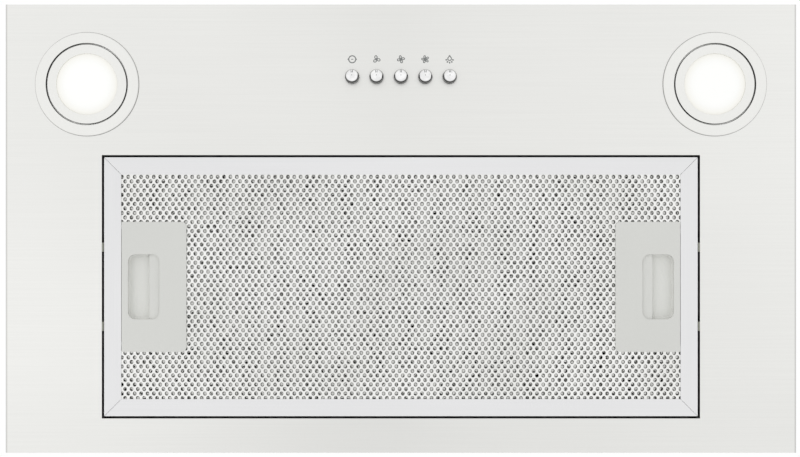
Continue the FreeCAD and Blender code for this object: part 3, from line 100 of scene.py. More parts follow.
def srgb(red, green, blue):
    """A colour as the eye reads it, from 0 to 255, as the linear one that shaders take."""
    parts = [value / 255 for value in (red, green, blue)]
    return [part / 12.92 if part <= 0.04045 else ((part + 0.055) / 1.055) ** 2.4 for part in parts]


def length(name, description, millimetres):
    return FloatProperty(name=name, description=description, default=millimetres * MM, unit="LENGTH", precision=5)


def colour(name, description, red, green, blue):
    return FloatVectorProperty(name=name, description=description, default=srgb(red, green, blue), subtype="COLOR",
                               size=3, min=0, max=1)


class HoodSizes(bpy.types.PropertyGroup):
    """Sizes of the fine detail; the large sizes come from the frame"""

    bend_radius: length("Fascia bend", "Outer radius of the fascia's folded edges", 1.2)
    sheet: length("Fascia sheet", "Thickness of the fascia's sheet", 0.8)
    lip_height: length("Opening lip", "Height of the lip round the filter opening", 6.8)
    filter_gap: length("Filter gap", "Gap between the filter and its opening", 1.3)
    edge_softness: length("Edge softness", "Width of the small rounding on sheet edges", 0.25)
    hole_pitch_x: length("Hole pitch across", "Distance between holes along a row of the filter face", 4.2)
    hole_pitch_y: length("Row pitch", "Distance between the rows of holes", 2.97)
    hole_radius: length("Hole radius", "Radius of a hole at the filter's face", 1.38)
    hole_throat: length("Hole throat", "Radius of a hole behind the face", 1.0)
    hole_depth: length("Hole depth", "Depth of the dished rim of a hole", 0.6)
    second_pitch: length("Second layer pitch", "Distance between holes along a row of the layer behind", 3.5)
    second_hole: length("Second layer hole", "Radius of a hole in the layer behind", 0.62)
    layer_wrinkle: length("Layer wrinkle", "Unevenness of the layer behind", 0.5)
    layer_wave: length("Layer wave", "How far the layer behind strays sideways", 5)
    wave_run: length("Wave run", "Distance over which the layer behind strays", 6)
    layer_sheet: length("Layer sheet", "Thickness of the layer behind", 0.15)
    rail_width: length("Rail width", "Width of the filter's frame", 11.4)
    rail_sheet: length("Rail sheet", "Thickness of the filter frame's sheet", 0.8)
    rail_edge: length("Rail edge", "Rounding of the filter frame's edges", 0.55)
    mitre_gap: length("Mitre gap", "Half of the fine gap at the frame's corner joints", 0.09)
    recess_corner: length("Recess corner", "Corner radius of the finger recess", 5)
    recess_scoop: length("Recess scoop", "Rounding at the bottom of the finger recess", 1.4)
    recess_depth: length("Recess depth", "Depth of the finger recess under the handle's face", 4.9)
    button_radius: length("Button radius", "Radius of a button's domed cap", 4.45)
    symbol_size: length("Symbol size", "Height of a printed symbol", 5.3)
    symbol_forward: length("Symbol place", "Distance of the symbols in front of the buttons", 11.6)
    symbol_stroke: length("Symbol stroke", "Width of the lines of a printed symbol", 0.7)
    ink_height: length("Ink height", "Thickness of the printed ink", 0.03)
    spring_wire: length("Spring wire", "Diameter of the spring wire", 0.5)
    spring_turns: IntProperty(name="Spring turns", description="Turns of each spring", default=4, min=1)
    camera_distance: length("Camera distance", "Distance from the camera to the fascia", 750)
    picture_width: length("Picture width", "Width of what the camera sees at the fascia", 525.7)
    floor_drop: length("Floor drop", "How far the floor lies under the fascia", 2700)


class HoodColours(bpy.types.PropertyGroup):
    """Colours of the finishes"""

    stainless: colour("Stainless", "Brushed sheet of the fascia", 245, 245, 242)
    satin: colour("Satin silver", "Lamp bezels and rings", 243, 243, 240)
    aluminium: colour("Filter frame", "Frame of the grease filter", 252, 252, 253)
    strand: colour("Filter face", "Bright strands of the filter's face", 249, 249, 247)
    # Painted shade that the dished rims of the filter's holes take.
    strand_shade: colour("Filter rims", "Dished rims of the filter's holes", 194, 194, 190)
    layer: colour("Layer behind", "Sheet behind the filter's face", 213, 213, 210)
    handle: colour("Handle", "Grey plastic of the handles", 215, 215, 211)
    chrome: colour("Chrome", "Button caps", 252, 252, 252)
    ink: colour("Ink", "Printed symbols", 126, 128, 127)
    lens: colour("Lens", "Lit lamp lens", 254, 254, 252)
    lens_edge: colour("Lens edge", "Rim of the lit lens", 240, 238, 231)
    galvanised: colour("Galvanised sheet", "Zinc-coated housing", 196, 199, 201)
    black: colour("Black plastic", "Collar, flaps and gland", 38, 39, 41)


# Modelling steps


def name_it(piece, name):
    piece.name = name
    piece.data.name = name


def select_none():
    """Leaves edit mode and deselects every object."""
    if bpy.context.mode != "OBJECT":
        bpy.ops.object.mode_set(mode="OBJECT")
    bpy.ops.object.select_all(action="DESELECT")


def settle():
    """Takes the selected object's place, turn and size into its mesh."""
    bpy.ops.object.transform_apply(location=True, rotation=True, scale=True)


def begin(add, name, scale=(1, 1, 1), **options):
    """Adds a primitive as the only selected object, with its place and size in its mesh."""
    select_none()
    add(**options)
    piece = bpy.context.view_layer.objects.active
    name_it(piece, name)
    piece.scale = scale
    settle()
    return piece


def only(piece):
    """Makes a piece the only selected and the active object."""
    select_none()
    piece.select_set(True)
    bpy.context.view_layer.objects.active = piece


def joined(pieces, name):
    """Joins pieces into the first of them."""
    only(pieces[0])
    for piece in pieces[1:]:
        piece.select_set(True)
    bpy.ops.object.join()
    name_it(pieces[0], name)
    return pieces[0]


def block(name, low, high):
    low, high = Vector(low), Vector(high)
    return begin(bpy.ops.mesh.primitive_cube_add, name, scale=high - low, size=1, location=(low + high) / 2)


def slab(name, across, half, heights, middle=FILTER_MIDDLE):
    """A block from one X and Z to another that reaches as far in front of a middle line as behind it."""
    (left, right), (low, high) = across, heights
    return block(name, (left, middle - half, low), (right, middle + half, high))


def rod(name, centre, radius, low, high, sides):
    return begin(bpy.ops.mesh.primitive_cylinder_add, name, vertices=sides, radius=radius, depth=high - low,
                 location=(centre[0], centre[1], (low + high) / 2))


def editing(piece):
    only(piece)
    bpy.ops.object.mode_set(mode="EDIT")


def done_editing():
    bpy.ops.object.mode_set(mode="OBJECT")


def select_all():
    bpy.ops.mesh.select_all(action="SELECT")


def turn_outward():
    """Points the normals of the whole mesh outward."""
    select_all()
    bpy.ops.mesh.normals_make_consistent(inside=False)


def weld():
    """Merges the corners that lie on each other."""
    select_all()
    bpy.ops.mesh.remove_doubles(threshold=MERGE)


def pick(piece, kind, test):
    """Selects, in edit mode, just the faces, edges or corners that a test picks."""
    mode = {"faces": "FACE", "edges": "EDGE", "verts": "VERT"}[kind]
    bpy.ops.mesh.select_mode(type=mode)
    bpy.ops.mesh.select_all(action="DESELECT")
    shape = bmesh.from_edit_mesh(piece.data)
    count = 0
    for part in getattr(shape, kind):
        if test(part):
            part.select_set(True)
            count += 1
    shape.select_flush_mode()
    bmesh.update_edit_mesh(piece.data)
    if not count:
        raise RuntimeError(f"{piece.name}: nothing picked among its {kind}")


def edge_middle(edge):
    return (edge.verts[0].co + edge.verts[1].co) / 2


def edge_along(edge, axis):
    run = edge.verts[1].co - edge.verts[0].co
    return abs(run[axis]) > 0.999 * run.length


def round_edges(piece, radius, segments, test):
    """Rounds, in edit mode, the edges that a test picks."""
    pick(piece, "edges", test)
    bpy.ops.mesh.bevel(offset=radius, segments=segments, affect="EDGES")


def cut_away(piece, test):
    """Deletes, in edit mode, the faces that a test picks."""
    pick(piece, "faces", test)
    bpy.ops.mesh.delete(type="FACE")


def paint_faces(piece, slot, test):
    """Gives the faces that a test picks another of the piece's material slots."""
    editing(piece)
    pick(piece, "faces", test)
    piece.active_material_index = slot
    bpy.ops.object.material_slot_assign()
    done_editing()


def push(move):
    bpy.ops.mesh.extrude_region_move(TRANSFORM_OT_translate={"value": tuple(move)})


def trace(name, points):
    """A line of edges from point to point, drawn by extruding one corner."""
    piece = begin(bpy.ops.mesh.primitive_plane_add, name, size=MM)
    editing(piece)
    bpy.ops.mesh.select_mode(type="VERT")
    select_all()
    bpy.ops.mesh.merge(type="CENTER")
    spots = [Vector(point) for point in points]
    bpy.ops.transform.translate(value=spots[0])
    for spot, following in zip(spots, spots[1:]):
        push(following - spot)
    return piece


def turned(name, centre, points, steps):
    """A piece turned about an upright axis from points: radius and height over the face, in millimetres."""
    piece = trace(name, [(radius * MM, 0, height * MM) for radius, height in points])
    select_all()
    bpy.ops.mesh.spin(steps=steps, angle=2 * math.pi, center=(0, 0, 0), axis=(0, 0, 1))
    select_all()
    bpy.ops.mesh.remove_doubles(threshold=MERGE / 10)
    bpy.ops.mesh.dissolve_degenerate(threshold=MERGE / 100)
    turn_outward()
    bpy.ops.transform.translate(value=(centre[0], centre[1], FACE))
    done_editing()
    return piece


def modify(piece, kind, **settings):
    """Adds a modifier and applies it."""
    only(piece)
    step = piece.modifiers.new(kind.lower(), kind)
    for key, value in settings.items():
        setattr(step, key, value)
    bpy.ops.object.modifier_apply(modifier=step.name)


def repeat(piece, count, offset):
    modify(piece, "ARRAY", count=count, use_relative_offset=False, use_constant_offset=True,
           constant_offset_displace=offset)


def combine(piece, tool, operation):
    """Cuts, joins or trims a piece with a tool, which is then removed."""
    modify(piece, "BOOLEAN", object=tool, operation=operation, solver="EXACT")
    bpy.data.objects.remove(tool)


def soften(piece, width, degrees):
    """Rounds a little every edge that turns by more than an angle."""
    modify(piece, "BEVEL", width=width, segments=2, limit_method="ANGLE", angle_limit=math.radians(degrees),
           use_clamp_overlap=True, harden_normals=False)


def flatten(piece):
    """Merges coplanar triangles, as a cut leaves them."""
    editing(piece)
    weld()
    bpy.ops.mesh.dissolve_limited(angle_limit=math.radians(0.5))
    done_editing()


def moved_copy(piece, name, move, turn=0):
    """A copy with its own mesh, turned about the origin's upright axis and then moved."""
    only(piece)
    bpy.ops.object.duplicate(linked=False)
    copy = bpy.context.view_layer.objects.active
    name_it(copy, name)
    copy.rotation_euler.z = turn
    copy.location = move
    settle()
    return copy


def across_filter(piece, name):
    """A copy on the other side of the filter, half a turn about its middle."""
    return moved_copy(piece, name, (0, 2 * FILTER_MIDDLE, 0), math.pi)


def along_row(first, pattern):
    """Every button's name with its piece: the first one or a copy of it along the row."""
    pieces = [first]
    for name in BUTTON_NAMES[1:]:
        shift = middle_of(f"button_{name}").x - BUTTON_CENTRE.x
        pieces.append(moved_copy(first, pattern.format(name), (shift, 0, 0)))
    return zip(BUTTON_NAMES, pieces)


def finish(piece, body, material, replaced=(), degrees=35):
    """Smooths a piece's shading, gives it its material, ties it to its body and hides the nodes that it replaces."""
    only(piece)
    bpy.ops.object.shade_smooth_by_angle(angle=math.radians(degrees))
    modify(piece, "WEIGHTED_NORMAL", keep_sharp=True, weight=100)
    if not piece.data.materials:
        piece.data.materials.append(material)
    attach(piece, body)
    if replaced:
        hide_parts(*replaced)


# Finishes


class Finish:
    """A node material while it is being built."""

    def __init__(self, name, **sockets):
        self.material = bpy.data.materials.new(name)
        self.material.use_nodes = True
        self.tree = self.material.node_tree
        self.shader = self.tree.nodes["Principled BSDF"]
        for socket, value in sockets.items():
            self.shader.inputs[socket.replace("_", " ")].default_value = value
        self.coordinates = self.add("ShaderNodeTexCoord")
        self.place = self.coordinates.outputs["Object"]

    def add(self, kind, inputs=None, **settings):
        node = self.tree.nodes.new(kind)
        for key, value in settings.items():
            setattr(node, key, value)
        for socket, value in (inputs or {}).items():
            if isinstance(value, bpy.types.NodeSocket):
                self.tree.links.new(value, node.inputs[socket])
            else:
                node.inputs[socket].default_value = value
        return node

    def give(self, socket, value):
        self.tree.links.new(value, self.shader.inputs[socket])

    def mapped(self, scale, location=(0, 0, 0)):
        inputs = {"Vector": self.place, "Scale": scale, "Location": location}
        return self.add("ShaderNodeMapping", inputs).outputs["Vector"]

    def round_spot(self, x, y, reach):
        """Coordinates round a spot on the face that end at a distance from it."""
        return self.mapped((1 / reach, 1 / reach, 0), (-x / reach, -y / reach, 0))

    def inward(self, spot):
        """1 at the middle of a round spot and 0 at its rim."""
        return self.add("ShaderNodeTexGradient", {"Vector": spot}, gradient_type="SPHERICAL").outputs["Fac"]

    def noise(self, scale, detail, vector=None):
        inputs = {"Vector": vector or self.place, "Scale": scale, "Detail": detail}
        return self.add("ShaderNodeTexNoise", inputs).outputs["Fac"]

    def spangle(self, scale):
        inputs = {"Vector": self.place, "Scale": scale, "Randomness": 1}
        return self.add("ShaderNodeTexVoronoi", inputs).outputs["Color"]

    def bands(self, scale, axis, distortion):
        inputs = {"Vector": self.place, "Scale": scale, "Distortion": distortion, "Detail": 2, "Detail Scale": 2}
        return self.add("ShaderNodeTexWave", inputs, bands_direction=axis).outputs["Fac"]

    def part(self, vector, axis):
        return self.add("ShaderNodeSeparateXYZ", {"Vector": vector}).outputs[axis]

    def along(self, axis, low, high):
        """From 0 at one place along an axis to 1 at another."""
        return self.between(self.part(self.place, axis), 0, 1, low, high)

    def facing(self, low=-1, high=1):
        """From 0 to 1 by how far a face looks up, where -1 is straight down and 1 straight up."""
        return self.between(self.part(self.coordinates.outputs["Normal"], "Z"), 0, 1, low, high)

    def shades(self, amount, *stops):
        """Colours picked by an amount, where a lone number is a grey."""
        node = self.add("ShaderNodeValToRGB", {"Fac": amount})
        ramp = node.color_ramp
        while len(ramp.elements) < len(stops):
            ramp.elements.new(0.5)
        for element, (position, shade) in zip(ramp.elements, stops):
            element.position = position
            element.color = (shade, shade, shade, 1) if isinstance(shade, float) else (*shade, 1)
        return node.outputs["Color"]

    def between(self, amount, low, high, from_low=0.3, from_high=0.7):
        inputs = {"Value": amount, "From Min": from_low, "From Max": from_high, "To Min": low, "To Max": high}
        return self.add("ShaderNodeMapRange", inputs).outputs["Result"]

    def tint(self, *stops, by):
        """Multiplies the colour so far by shades picked by an amount."""
        before = self.shader.inputs["Base Color"].links[0].from_socket
        mixed = self.add("ShaderNodeMix", {0: 1, 6: before, 7: self.shades(by, *stops)}, data_type="RGBA",
                         blend_type="MULTIPLY")
        self.give("Base Color", mixed.outputs[2])

    def outward(self, low, high):
        """From 0 at one distance from the middle plane across to 1 at another."""
        away = self.add("ShaderNodeMath", {0: self.part(self.place, "X")}, operation="ABSOLUTE").outputs[0]
        return self.between(away, 0, 1, low, high)

    def relief(self, height, strength, depth):
        inputs = {"Height": height, "Strength": strength, "Distance": depth}
        self.give("Normal", self.add("ShaderNodeBump", inputs).outputs["Normal"])


def scaled(shade, factor):
    return [min(1.0, part * factor) for part in shade]


def worn(name, shade, rough, spread, scale, stretch=(1, 1, 1), strength=0.08, depth=0.0002, cloud=9, **sockets):
    """A finish with fine grain, slow tone changes and uneven gloss."""
    made = Finish(name, **sockets)
    grain = made.noise(scale, 4, made.mapped(stretch))
    dark, light = scaled(shade, 1 - spread), scaled(shade, 1 + spread)
    made.give("Base Color", made.shades(grain, (0.25, dark), (0.75, light)))
    made.tint((0.3, 0.97), (0.7, 1.0), by=made.noise(cloud, 2))
    made.give("Roughness", made.between(grain, rough * 0.85, rough * 1.15))
    made.relief(grain, strength, depth)
    return made


def brushed(name, shade, rough, axis=0):
    """Sheet brushed along one axis: long fine streaks in tone, gloss and height."""
    stretch = [900, 900, 900]
    stretch[axis] = 9
    return worn(name, shade, rough, 0.02, 1, stretch, 0.03, 0.00005, 5, Metallic=1.0)


def satin(name, colours):
    return worn(name, colours.satin, 0.42, 0.02, 900, strength=0.04, Metallic=1.0)


def plastic(name, shade):
    return worn(name, shade, 0.48, 0.015, 1400, strength=0.06, depth=0.00005)


def galvanised_sheet(colours):
    """Zinc-coated sheet with a spangle of pale crystals."""
    made = Finish("galvanised_sheet", Metallic=1.0)
    crystals = made.part(made.spangle(125), "X")
    shade = colours.galvanised
    made.give("Base Color", made.shades(crystals, (0, scaled(shade, 0.9)), (0.55, shade), (1, scaled(shade, 1.1))))
    made.tint((0, (0.95, 0.95, 0.96)), (1, 1.0), by=made.part(made.spangle(310), "Y"))
    made.tint((0.3, (0.93, 0.93, 0.92)), (0.65, 1.0), by=made.noise(7, 4))
    made.give("Roughness", made.between(crystals, 0.3, 0.48, 0, 1))
    made.relief(crystals, 0.06, 0.0003)
    return made


def fascia_sheet(colours):
    """Brushed sheet with soft random tone changes, painted light and shade across and along it, and painted shade on
    the folds at its ends.
    """
    made = brushed("fascia_stainless", colours.stainless, 0.34)
    made.tint((0.36, 0.965), (0.6, 1.0), by=made.noise(3.4, 1))
    # Painted light and shade across the sheet: lightest at the -X end, darkest in the middle, a little lighter again
    # at the +X end.
    across = made.along("X", FASCIA_LOW.x, FASCIA_HIGH.x)
    made.tint((0, 0.997), (0.3, 0.934), (0.5, 0.897), (0.7, 0.932), (1, 0.968), by=across)
    # Painted shade: a little darker towards the +Y edge.
    made.tint((0, 1.0), (1, 0.97), by=made.along("Y", 90 * MM, 135 * MM))
    # Painted shade on the folds at both ends of the sheet.
    made.tint((0, 1.0), (1, 0.72), by=made.outward(FASCIA_HIGH.x - 1.7 * MM, FASCIA_HIGH.x - 0.7 * MM))
    return made


def satin_silver(colours):
    """Satin lamp trim with painted shade on its turned edges and walls, which are darker than its flats."""
    made = satin("satin_silver", colours)
    # Painted shade: the further a face turns from straight down, the darker it is.
    made.tint((0, 1.0), (0.6, 0.55), (1, 0.2), by=made.facing(-0.97, -0.3))
    return made


def frame_metal(name, colours, axis):
    """Brushed frame metal with painted highlights along its rounded edges, where it is brighter than on its flats and
    walls.
    """
    made = brushed(name, colours.aluminium, 0.4, axis)
    # Painted highlight: the rounded edges are brighter than the flats and the walls.
    made.tint((0.005, 0.855), (0.075, 1.0), (0.3, 1.0), (0.45, 0.86), by=made.facing())
    return made


def chrome_cap(name, centre, colours):
    """Chrome with painted reflections: a dark rim that is wider towards +Y, a small dark dot in the middle and soft
    light and dark blotches.
    """
    made = worn(name, colours.chrome, 0.08, 0.015, 700, strength=0.01, Metallic=1.0)
    # Painted reflection: a dark rim round a spot set a little towards -Y, so that the rim is wider towards +Y, and a
    # dark dot at the very middle.
    painted_reflection_spot = made.round_spot(centre.x, centre.y - 0.32 * MM, 5.68 * MM)
    made.tint((0.17, 0.03), (0.25, 0.05), (0.285, 0.18), (0.315, 0.66), (0.36, 0.94), (0.55, 1.0), (0.935, 1.0),
              (0.96, 0.4), by=made.inward(painted_reflection_spot))
    # Painted reflection: soft light and dark blotches over the cap.
    made.tint((0.36, 0.88), (0.62, 1.0), by=made.noise(280, 1))
    return made


def handle_plastic(colours):
    """Fine-grained grey plastic with painted light in the finger recess, which is paler the deeper it goes."""
    made = plastic("handle_plastic", scaled(colours.handle, 1.24))
    # Painted light: the deeper a place in the recess, the paler it is.
    made.tint((0, 0.806), (1, 0.89), by=made.along("Z", HANDLE_LOW.z + MM, HANDLE_LOW.z + 5 * MM))
    return made


def slider_plastic(colours):
    """The latch slide: grey at its ledge, darker and olive at its prongs by the frame's side."""
    made = plastic("slider_plastic", colours.handle)
    made.tint((0, 1.0), (1, (0.2, 0.195, 0.16)), by=made.outward(RAILS_HIGH.x - 2 * MM, RAILS_HIGH.x - MM))
    return made


def filter_face(colours):
    """Bright strands with painted shade on their dished rims and edges."""
    made = Finish("filter_face", Metallic=1.0)
    facing = made.facing(-1, -0.35)
    grain = made.noise(420, 3)
    # Painted shade: faces that turn away from straight down take the rims' shade.
    made.give("Base Color", made.shades(facing, (0, colours.strand), (1, colours.strand_shade)))
    made.tint((0.3, 0.92), (0.6, 1.0), by=grain)
    made.tint((0.32, (0.93, 0.93, 0.92)), (0.6, 1.0), by=made.noise(16, 3))
    made.give("Roughness", made.between(grain, 0.22, 0.4))
    made.relief(grain, 0.05, 0.0001)
    return made


def pleat_metal(colours):
    """Folded mesh: bright strands and crests, with painted shade in its valleys and on the side that faces the next
    layer.
    """
    made = worn("filter_pleats", colours.layer, 0.5, 0.1, 900, strength=0.3, Metallic=1.0)
    # Painted shade on faces that look down, towards the next layer.
    made.tint((0.3, 0.1), (0.7, 1.0), by=made.facing())
    strands = made.add("ShaderNodeTexVoronoi", {"Vector": made.place, "Scale": 420}, feature="DISTANCE_TO_EDGE")
    made.tint((0.08, 1.0), (0.24, 0.5), by=strands.outputs["Distance"])
    # Painted shade in the valleys, lightening towards the crests.
    made.tint((0, 0.35), (1, 1.0), by=made.along("Z", CORE_LOW.z + MM, CORE_HIGH.z - MM))
    return made


def lit_lens(name, centre, colours):
    """A lit diffuser: fine rings, brightest in the middle and creamy at its rim."""
    made = Finish(name, Roughness=0.3, IOR=1.49)
    spot = made.round_spot(centre.x, centre.y, LENS_REACH)
    glow = made.inward(spot)
    rings = made.add("ShaderNodeTexWave", {"Vector": spot, "Scale": 6.0, "Distortion": 0.0}, wave_type="RINGS",
                     rings_direction="SPHERICAL").outputs["Fac"]
    stops = [(0, colours.lens_edge), (0.12, srgb(248, 247, 242)), (0.27, srgb(252, 252, 250)), (0.4, colours.lens)]
    made.give("Base Color", made.shades(glow, *[(place, scaled(shade, 0.42)) for place, shade in stops]))
    made.give("Emission Color", made.shades(glow, *stops))
    made.shader.inputs["Emission Strength"].default_value = 0.58
    made.relief(rings, 0.05, 0.0002)
    return made


def wound_copper():
    """Enamelled wire wound round the stator's ends."""
    made = Finish("wound_copper", Metallic=1.0)
    turns = made.bands(160, "DIAGONAL", 1.5)
    made.give("Base Color", made.shades(turns, (0.1, (0.10, 0.025, 0.008)), (0.6, (0.62, 0.24, 0.09))))
    made.give("Roughness", made.between(turns, 0.3, 0.5, 0, 1))
    made.relief(turns, 0.5, 0.0004)
    return made


def stacked_core():
    """Thin steel plates stacked along the shaft."""
    made = Finish("core_steel", Metallic=1.0)
    plates = made.bands(320, "X", 0.1)
    shade = srgb(128, 129, 131)
    made.give("Base Color", made.shades(plates, (0.2, scaled(shade, 0.45)), (0.6, shade)))
    made.give("Roughness", made.between(plates, 0.4, 0.6, 0, 1))
    made.relief(plates, 0.3, 0.0002)
    return made


METAL = {"Metallic": 1.0}
MATT = {"strength": 0.1}

# What worn() takes for each plain finish: colour, roughness, spread of tones, scale of the grain, and the rest

PLAIN_FINISHES = {
    "spring_steel": ((146, 147, 138), 0.35, 0.08, 1, {"stretch": (20, 400, 400), **METAL}),
    "lamp_board": ((236, 234, 222), 0.5, 0.05, 320, {}),
    "blower_plastic": ((150, 153, 155), 0.5, 0.05, 800, MATT),
    "wheel_plastic": ((74, 77, 80), 0.45, 0.08, 800, MATT),
    "motor_steel": ((168, 170, 170), 0.4, 0.07, 1, {"stretch": (40, 500, 500), **METAL}),
    "bearing_bronze": ((176, 134, 84), 0.38, 0.1, 900, METAL),
    "bright_steel": ((208, 209, 210), 0.22, 0.04, 1, {"stretch": (30, 600, 600), **METAL}),
    "capacitor_can": ((206, 207, 207), 0.36, 0.05, 1, {"stretch": (300, 300, 20), **METAL}),
    "switch_plastic": ((58, 60, 63), 0.5, 0.1, 900, MATT),
}

SPECIAL_FINISHES = {
    "galvanised": galvanised_sheet,
    "zinc_fasteners": lambda colours: worn("zinc_plate", srgb(205, 206, 204), 0.32, 0.08, 500, Metallic=1.0),
    "satin_silver": satin_silver,
    "filter_frame": lambda colours: frame_metal("filter_frame_aluminium", colours, 0),
    "filter_mesh": filter_face,
    "filter_core": lambda colours: worn("filter_core_mesh", colours.layer, 0.36, 0.1, 900, strength=0.3,
                                        Metallic=1.0),
    "grey_plastic": slider_plastic,
    "black_plastic": lambda colours: worn("black_plastic", colours.black, 0.42, 0.12, 900, strength=0.12,
                                          depth=0.0001),
    "core_steel": lambda colours: stacked_core(),
    "copper": lambda colours: wound_copper(),
}

finishes_made = {}


def finish_of(slot):
    """The material of a slot, built the first time that it is asked for."""
    if slot not in finishes_made:
        if slot in PLAIN_FINISHES:
            shade, rough, spread, scale, rest = PLAIN_FINISHES[slot]
            made = worn(slot, srgb(*shade), rough, spread, scale, **rest)
        else:
            made = SPECIAL_FINISHES[slot](bpy.context.scene.hood_colours)
        finishes_made[slot] = made.material
    return finishes_made[slot]


def mix_white(tree, shader, white, *kinds):
    """A shader that shows plain white to the named kinds of rays."""
    rays = tree.nodes.new("ShaderNodeLightPath").outputs
    seen = rays[kinds[0]]
    for kind in kinds[1:]:
        either = tree.nodes.new("ShaderNodeMath")
        either.operation = "MAXIMUM"
        tree.links.new(seen, either.inputs[0])
        tree.links.new(rays[kind], either.inputs[1])
        seen = either.outputs[0]
    blend = tree.nodes.new("ShaderNodeMixShader")
    for socket, value in zip(blend.inputs, (seen, shader.outputs[0], white.outputs[0])):
        tree.links.new(value, socket)
    return blend.outputs[0]


# Operators


class HOOD_OT_stage(bpy.types.Operator):
    """Sets the floor, the light and the camera"""

    bl_idname = "hood.stage"
    bl_label = "Stage"

    def execute(self, context):
        sizes = context.scene.hood_sizes
        floor = begin(bpy.ops.mesh.primitive_circle_add, "floor", vertices=96, radius=40, fill_type="NGON",
                      location=(0, 0, FACE - sizes.floor_drop))
        paint = Finish("pale_floor", Base_Color=(*srgb(240, 240, 239), 1), Roughness=0.8)
        glow = paint.add("ShaderNodeEmission", {"Color": (1, 1, 1, 1), "Strength": 1.0})
        surface = mix_white(paint.tree, paint.shader, glow, "Is Glossy Ray", "Is Transmission Ray")
        paint.tree.links.new(surface, paint.tree.nodes["Material Output"].inputs["Surface"])
        floor.data.materials.append(paint.material)
        self.light_world(context.scene)
        for name, place, size, power in (("key_panel", (-1.1, -0.7, -1.3), 1.6, 5.0),
                                         ("fill_panel", (1.2, 0.5, -1.2), 1.6, 2.5),
                                         ("top_panel", (-1.2, -1.6, 2.2), 2.2, 14.0),
                                         ("rear_panel", (1.4, 1.8, 1.8), 2.2, 10.0)):
            self.add_panel(name, Vector(place), size, power)
        self.add_camera(context.scene, sizes)
        context.scene.view_settings.view_transform = "Standard"
        return {"FINISHED"}

    def light_world(self, scene):
        """Soft light all round, seen as white by the camera and by shiny surfaces."""
        world = bpy.data.worlds.new("studio")
        scene.world = world
        world.use_nodes = True
        tree = world.node_tree
        tree.nodes.clear()
        lights = []
        for shade, strength in (((0.98, 0.99, 1.0, 1), 0.93), ((1, 1, 1, 1), 1.0)):
            light = tree.nodes.new("ShaderNodeBackground")
            light.inputs["Color"].default_value = shade
            light.inputs["Strength"].default_value = strength
            lights.append(light)
        surface = mix_white(tree, *lights, "Is Camera Ray", "Is Glossy Ray", "Is Transmission Ray")
        tree.links.new(surface, tree.nodes.new("ShaderNodeOutputWorld").inputs["Surface"])

    def add_panel(self, name, place, size, power):
        lamp = bpy.data.lights.new(name, "AREA")
        lamp.shape = "SQUARE"
        lamp.size = size
        lamp.energy = power
        panel = bpy.data.objects.new(name, lamp)
        bpy.context.scene.collection.objects.link(panel)
        panel.location = place
        panel.visible_camera = False
        panel.visible_glossy = False
        aim = Vector((0, 0, 50 * MM))
        panel.rotation_euler = (aim - place).to_track_quat("-Z", "Y").to_euler()

    def add_camera(self, scene, sizes):
        view = bpy.data.cameras.new("camera")
        view.sensor_width = 36
        view.lens = view.sensor_width * sizes.camera_distance / sizes.picture_width
        view.dof.use_dof = False
        camera = bpy.data.objects.new("camera", view)
        scene.collection.objects.link(camera)
        off_x, off_y = -0.6 * MM, -0.1 * MM  # the hood isn't quite in the middle of the picture
        camera.location = (off_x, off_y, FACE - sizes.camera_distance)
        camera.rotation_euler = (math.pi, 0, 0)
        scene.camera = camera


class HOOD_OT_fascia(bpy.types.Operator):
    """Folds the stainless fascia with its filter opening, lamp holes and button holes"""

    bl_idname = "hood.fascia"
    bl_label = "Fascia"

    def execute(self, context):
        sizes = context.scene.hood_sizes
        tray = block("fascia_sheet", FASCIA_LOW, FASCIA_HIGH)
        editing(tray)
        round_edges(tray, sizes.bend_radius, 5, lambda edge: not edge_along(edge, UP))
        pick(tray, "faces", lambda face: face.normal.z > 0.99)
        housing_edge = HOUSING_LOW.x - FASCIA_LOW.x - 0.5 * MM
        bpy.ops.mesh.inset(thickness=housing_edge - sizes.bend_radius)
        bpy.ops.mesh.delete(type="FACE")
        done_editing()
        modify(tray, "SOLIDIFY", thickness=sizes.sheet, offset=-1)
        self.cut_holes(tray, sizes)
        soften(tray, sizes.edge_softness, 60)
        finish(tray, "hood", fascia_sheet(context.scene.hood_colours).material, ["fascia_panel"], 40)
        return {"FINISHED"}

    def cut_holes(self, tray, sizes):
        gap = Vector((sizes.filter_gap, sizes.filter_gap, 0))
        low = Vector((RAILS_LOW.x, RAILS_LOW.y, FACE)) - gap
        high = Vector((RAILS_HIGH.x, RAILS_HIGH.y, FACE + sizes.lip_height)) + gap
        wall = Vector((sizes.sheet, sizes.sheet, 0))
        lip = block("lip", low - wall + Vector((0, 0, sizes.sheet / 2)), high + wall)
        combine(tray, lip, "UNION")
        reach = Vector((0, 0, 2 * MM))
        combine(tray, block("opening", low - reach, high + reach), "DIFFERENCE")
        holes = [(f"lamp_bezel_{name}", LAMP_HOLE, 64) for name in ("left", "right")]
        holes += [(f"button_{name}", sizes.button_radius + 0.15 * MM, 48) for name in BUTTON_NAMES]
        for node, radius, sides in holes:
            combine(tray, rod("hole", middle_of(node), radius, FACE - MM, FACE + 2 * MM, sides), "DIFFERENCE")


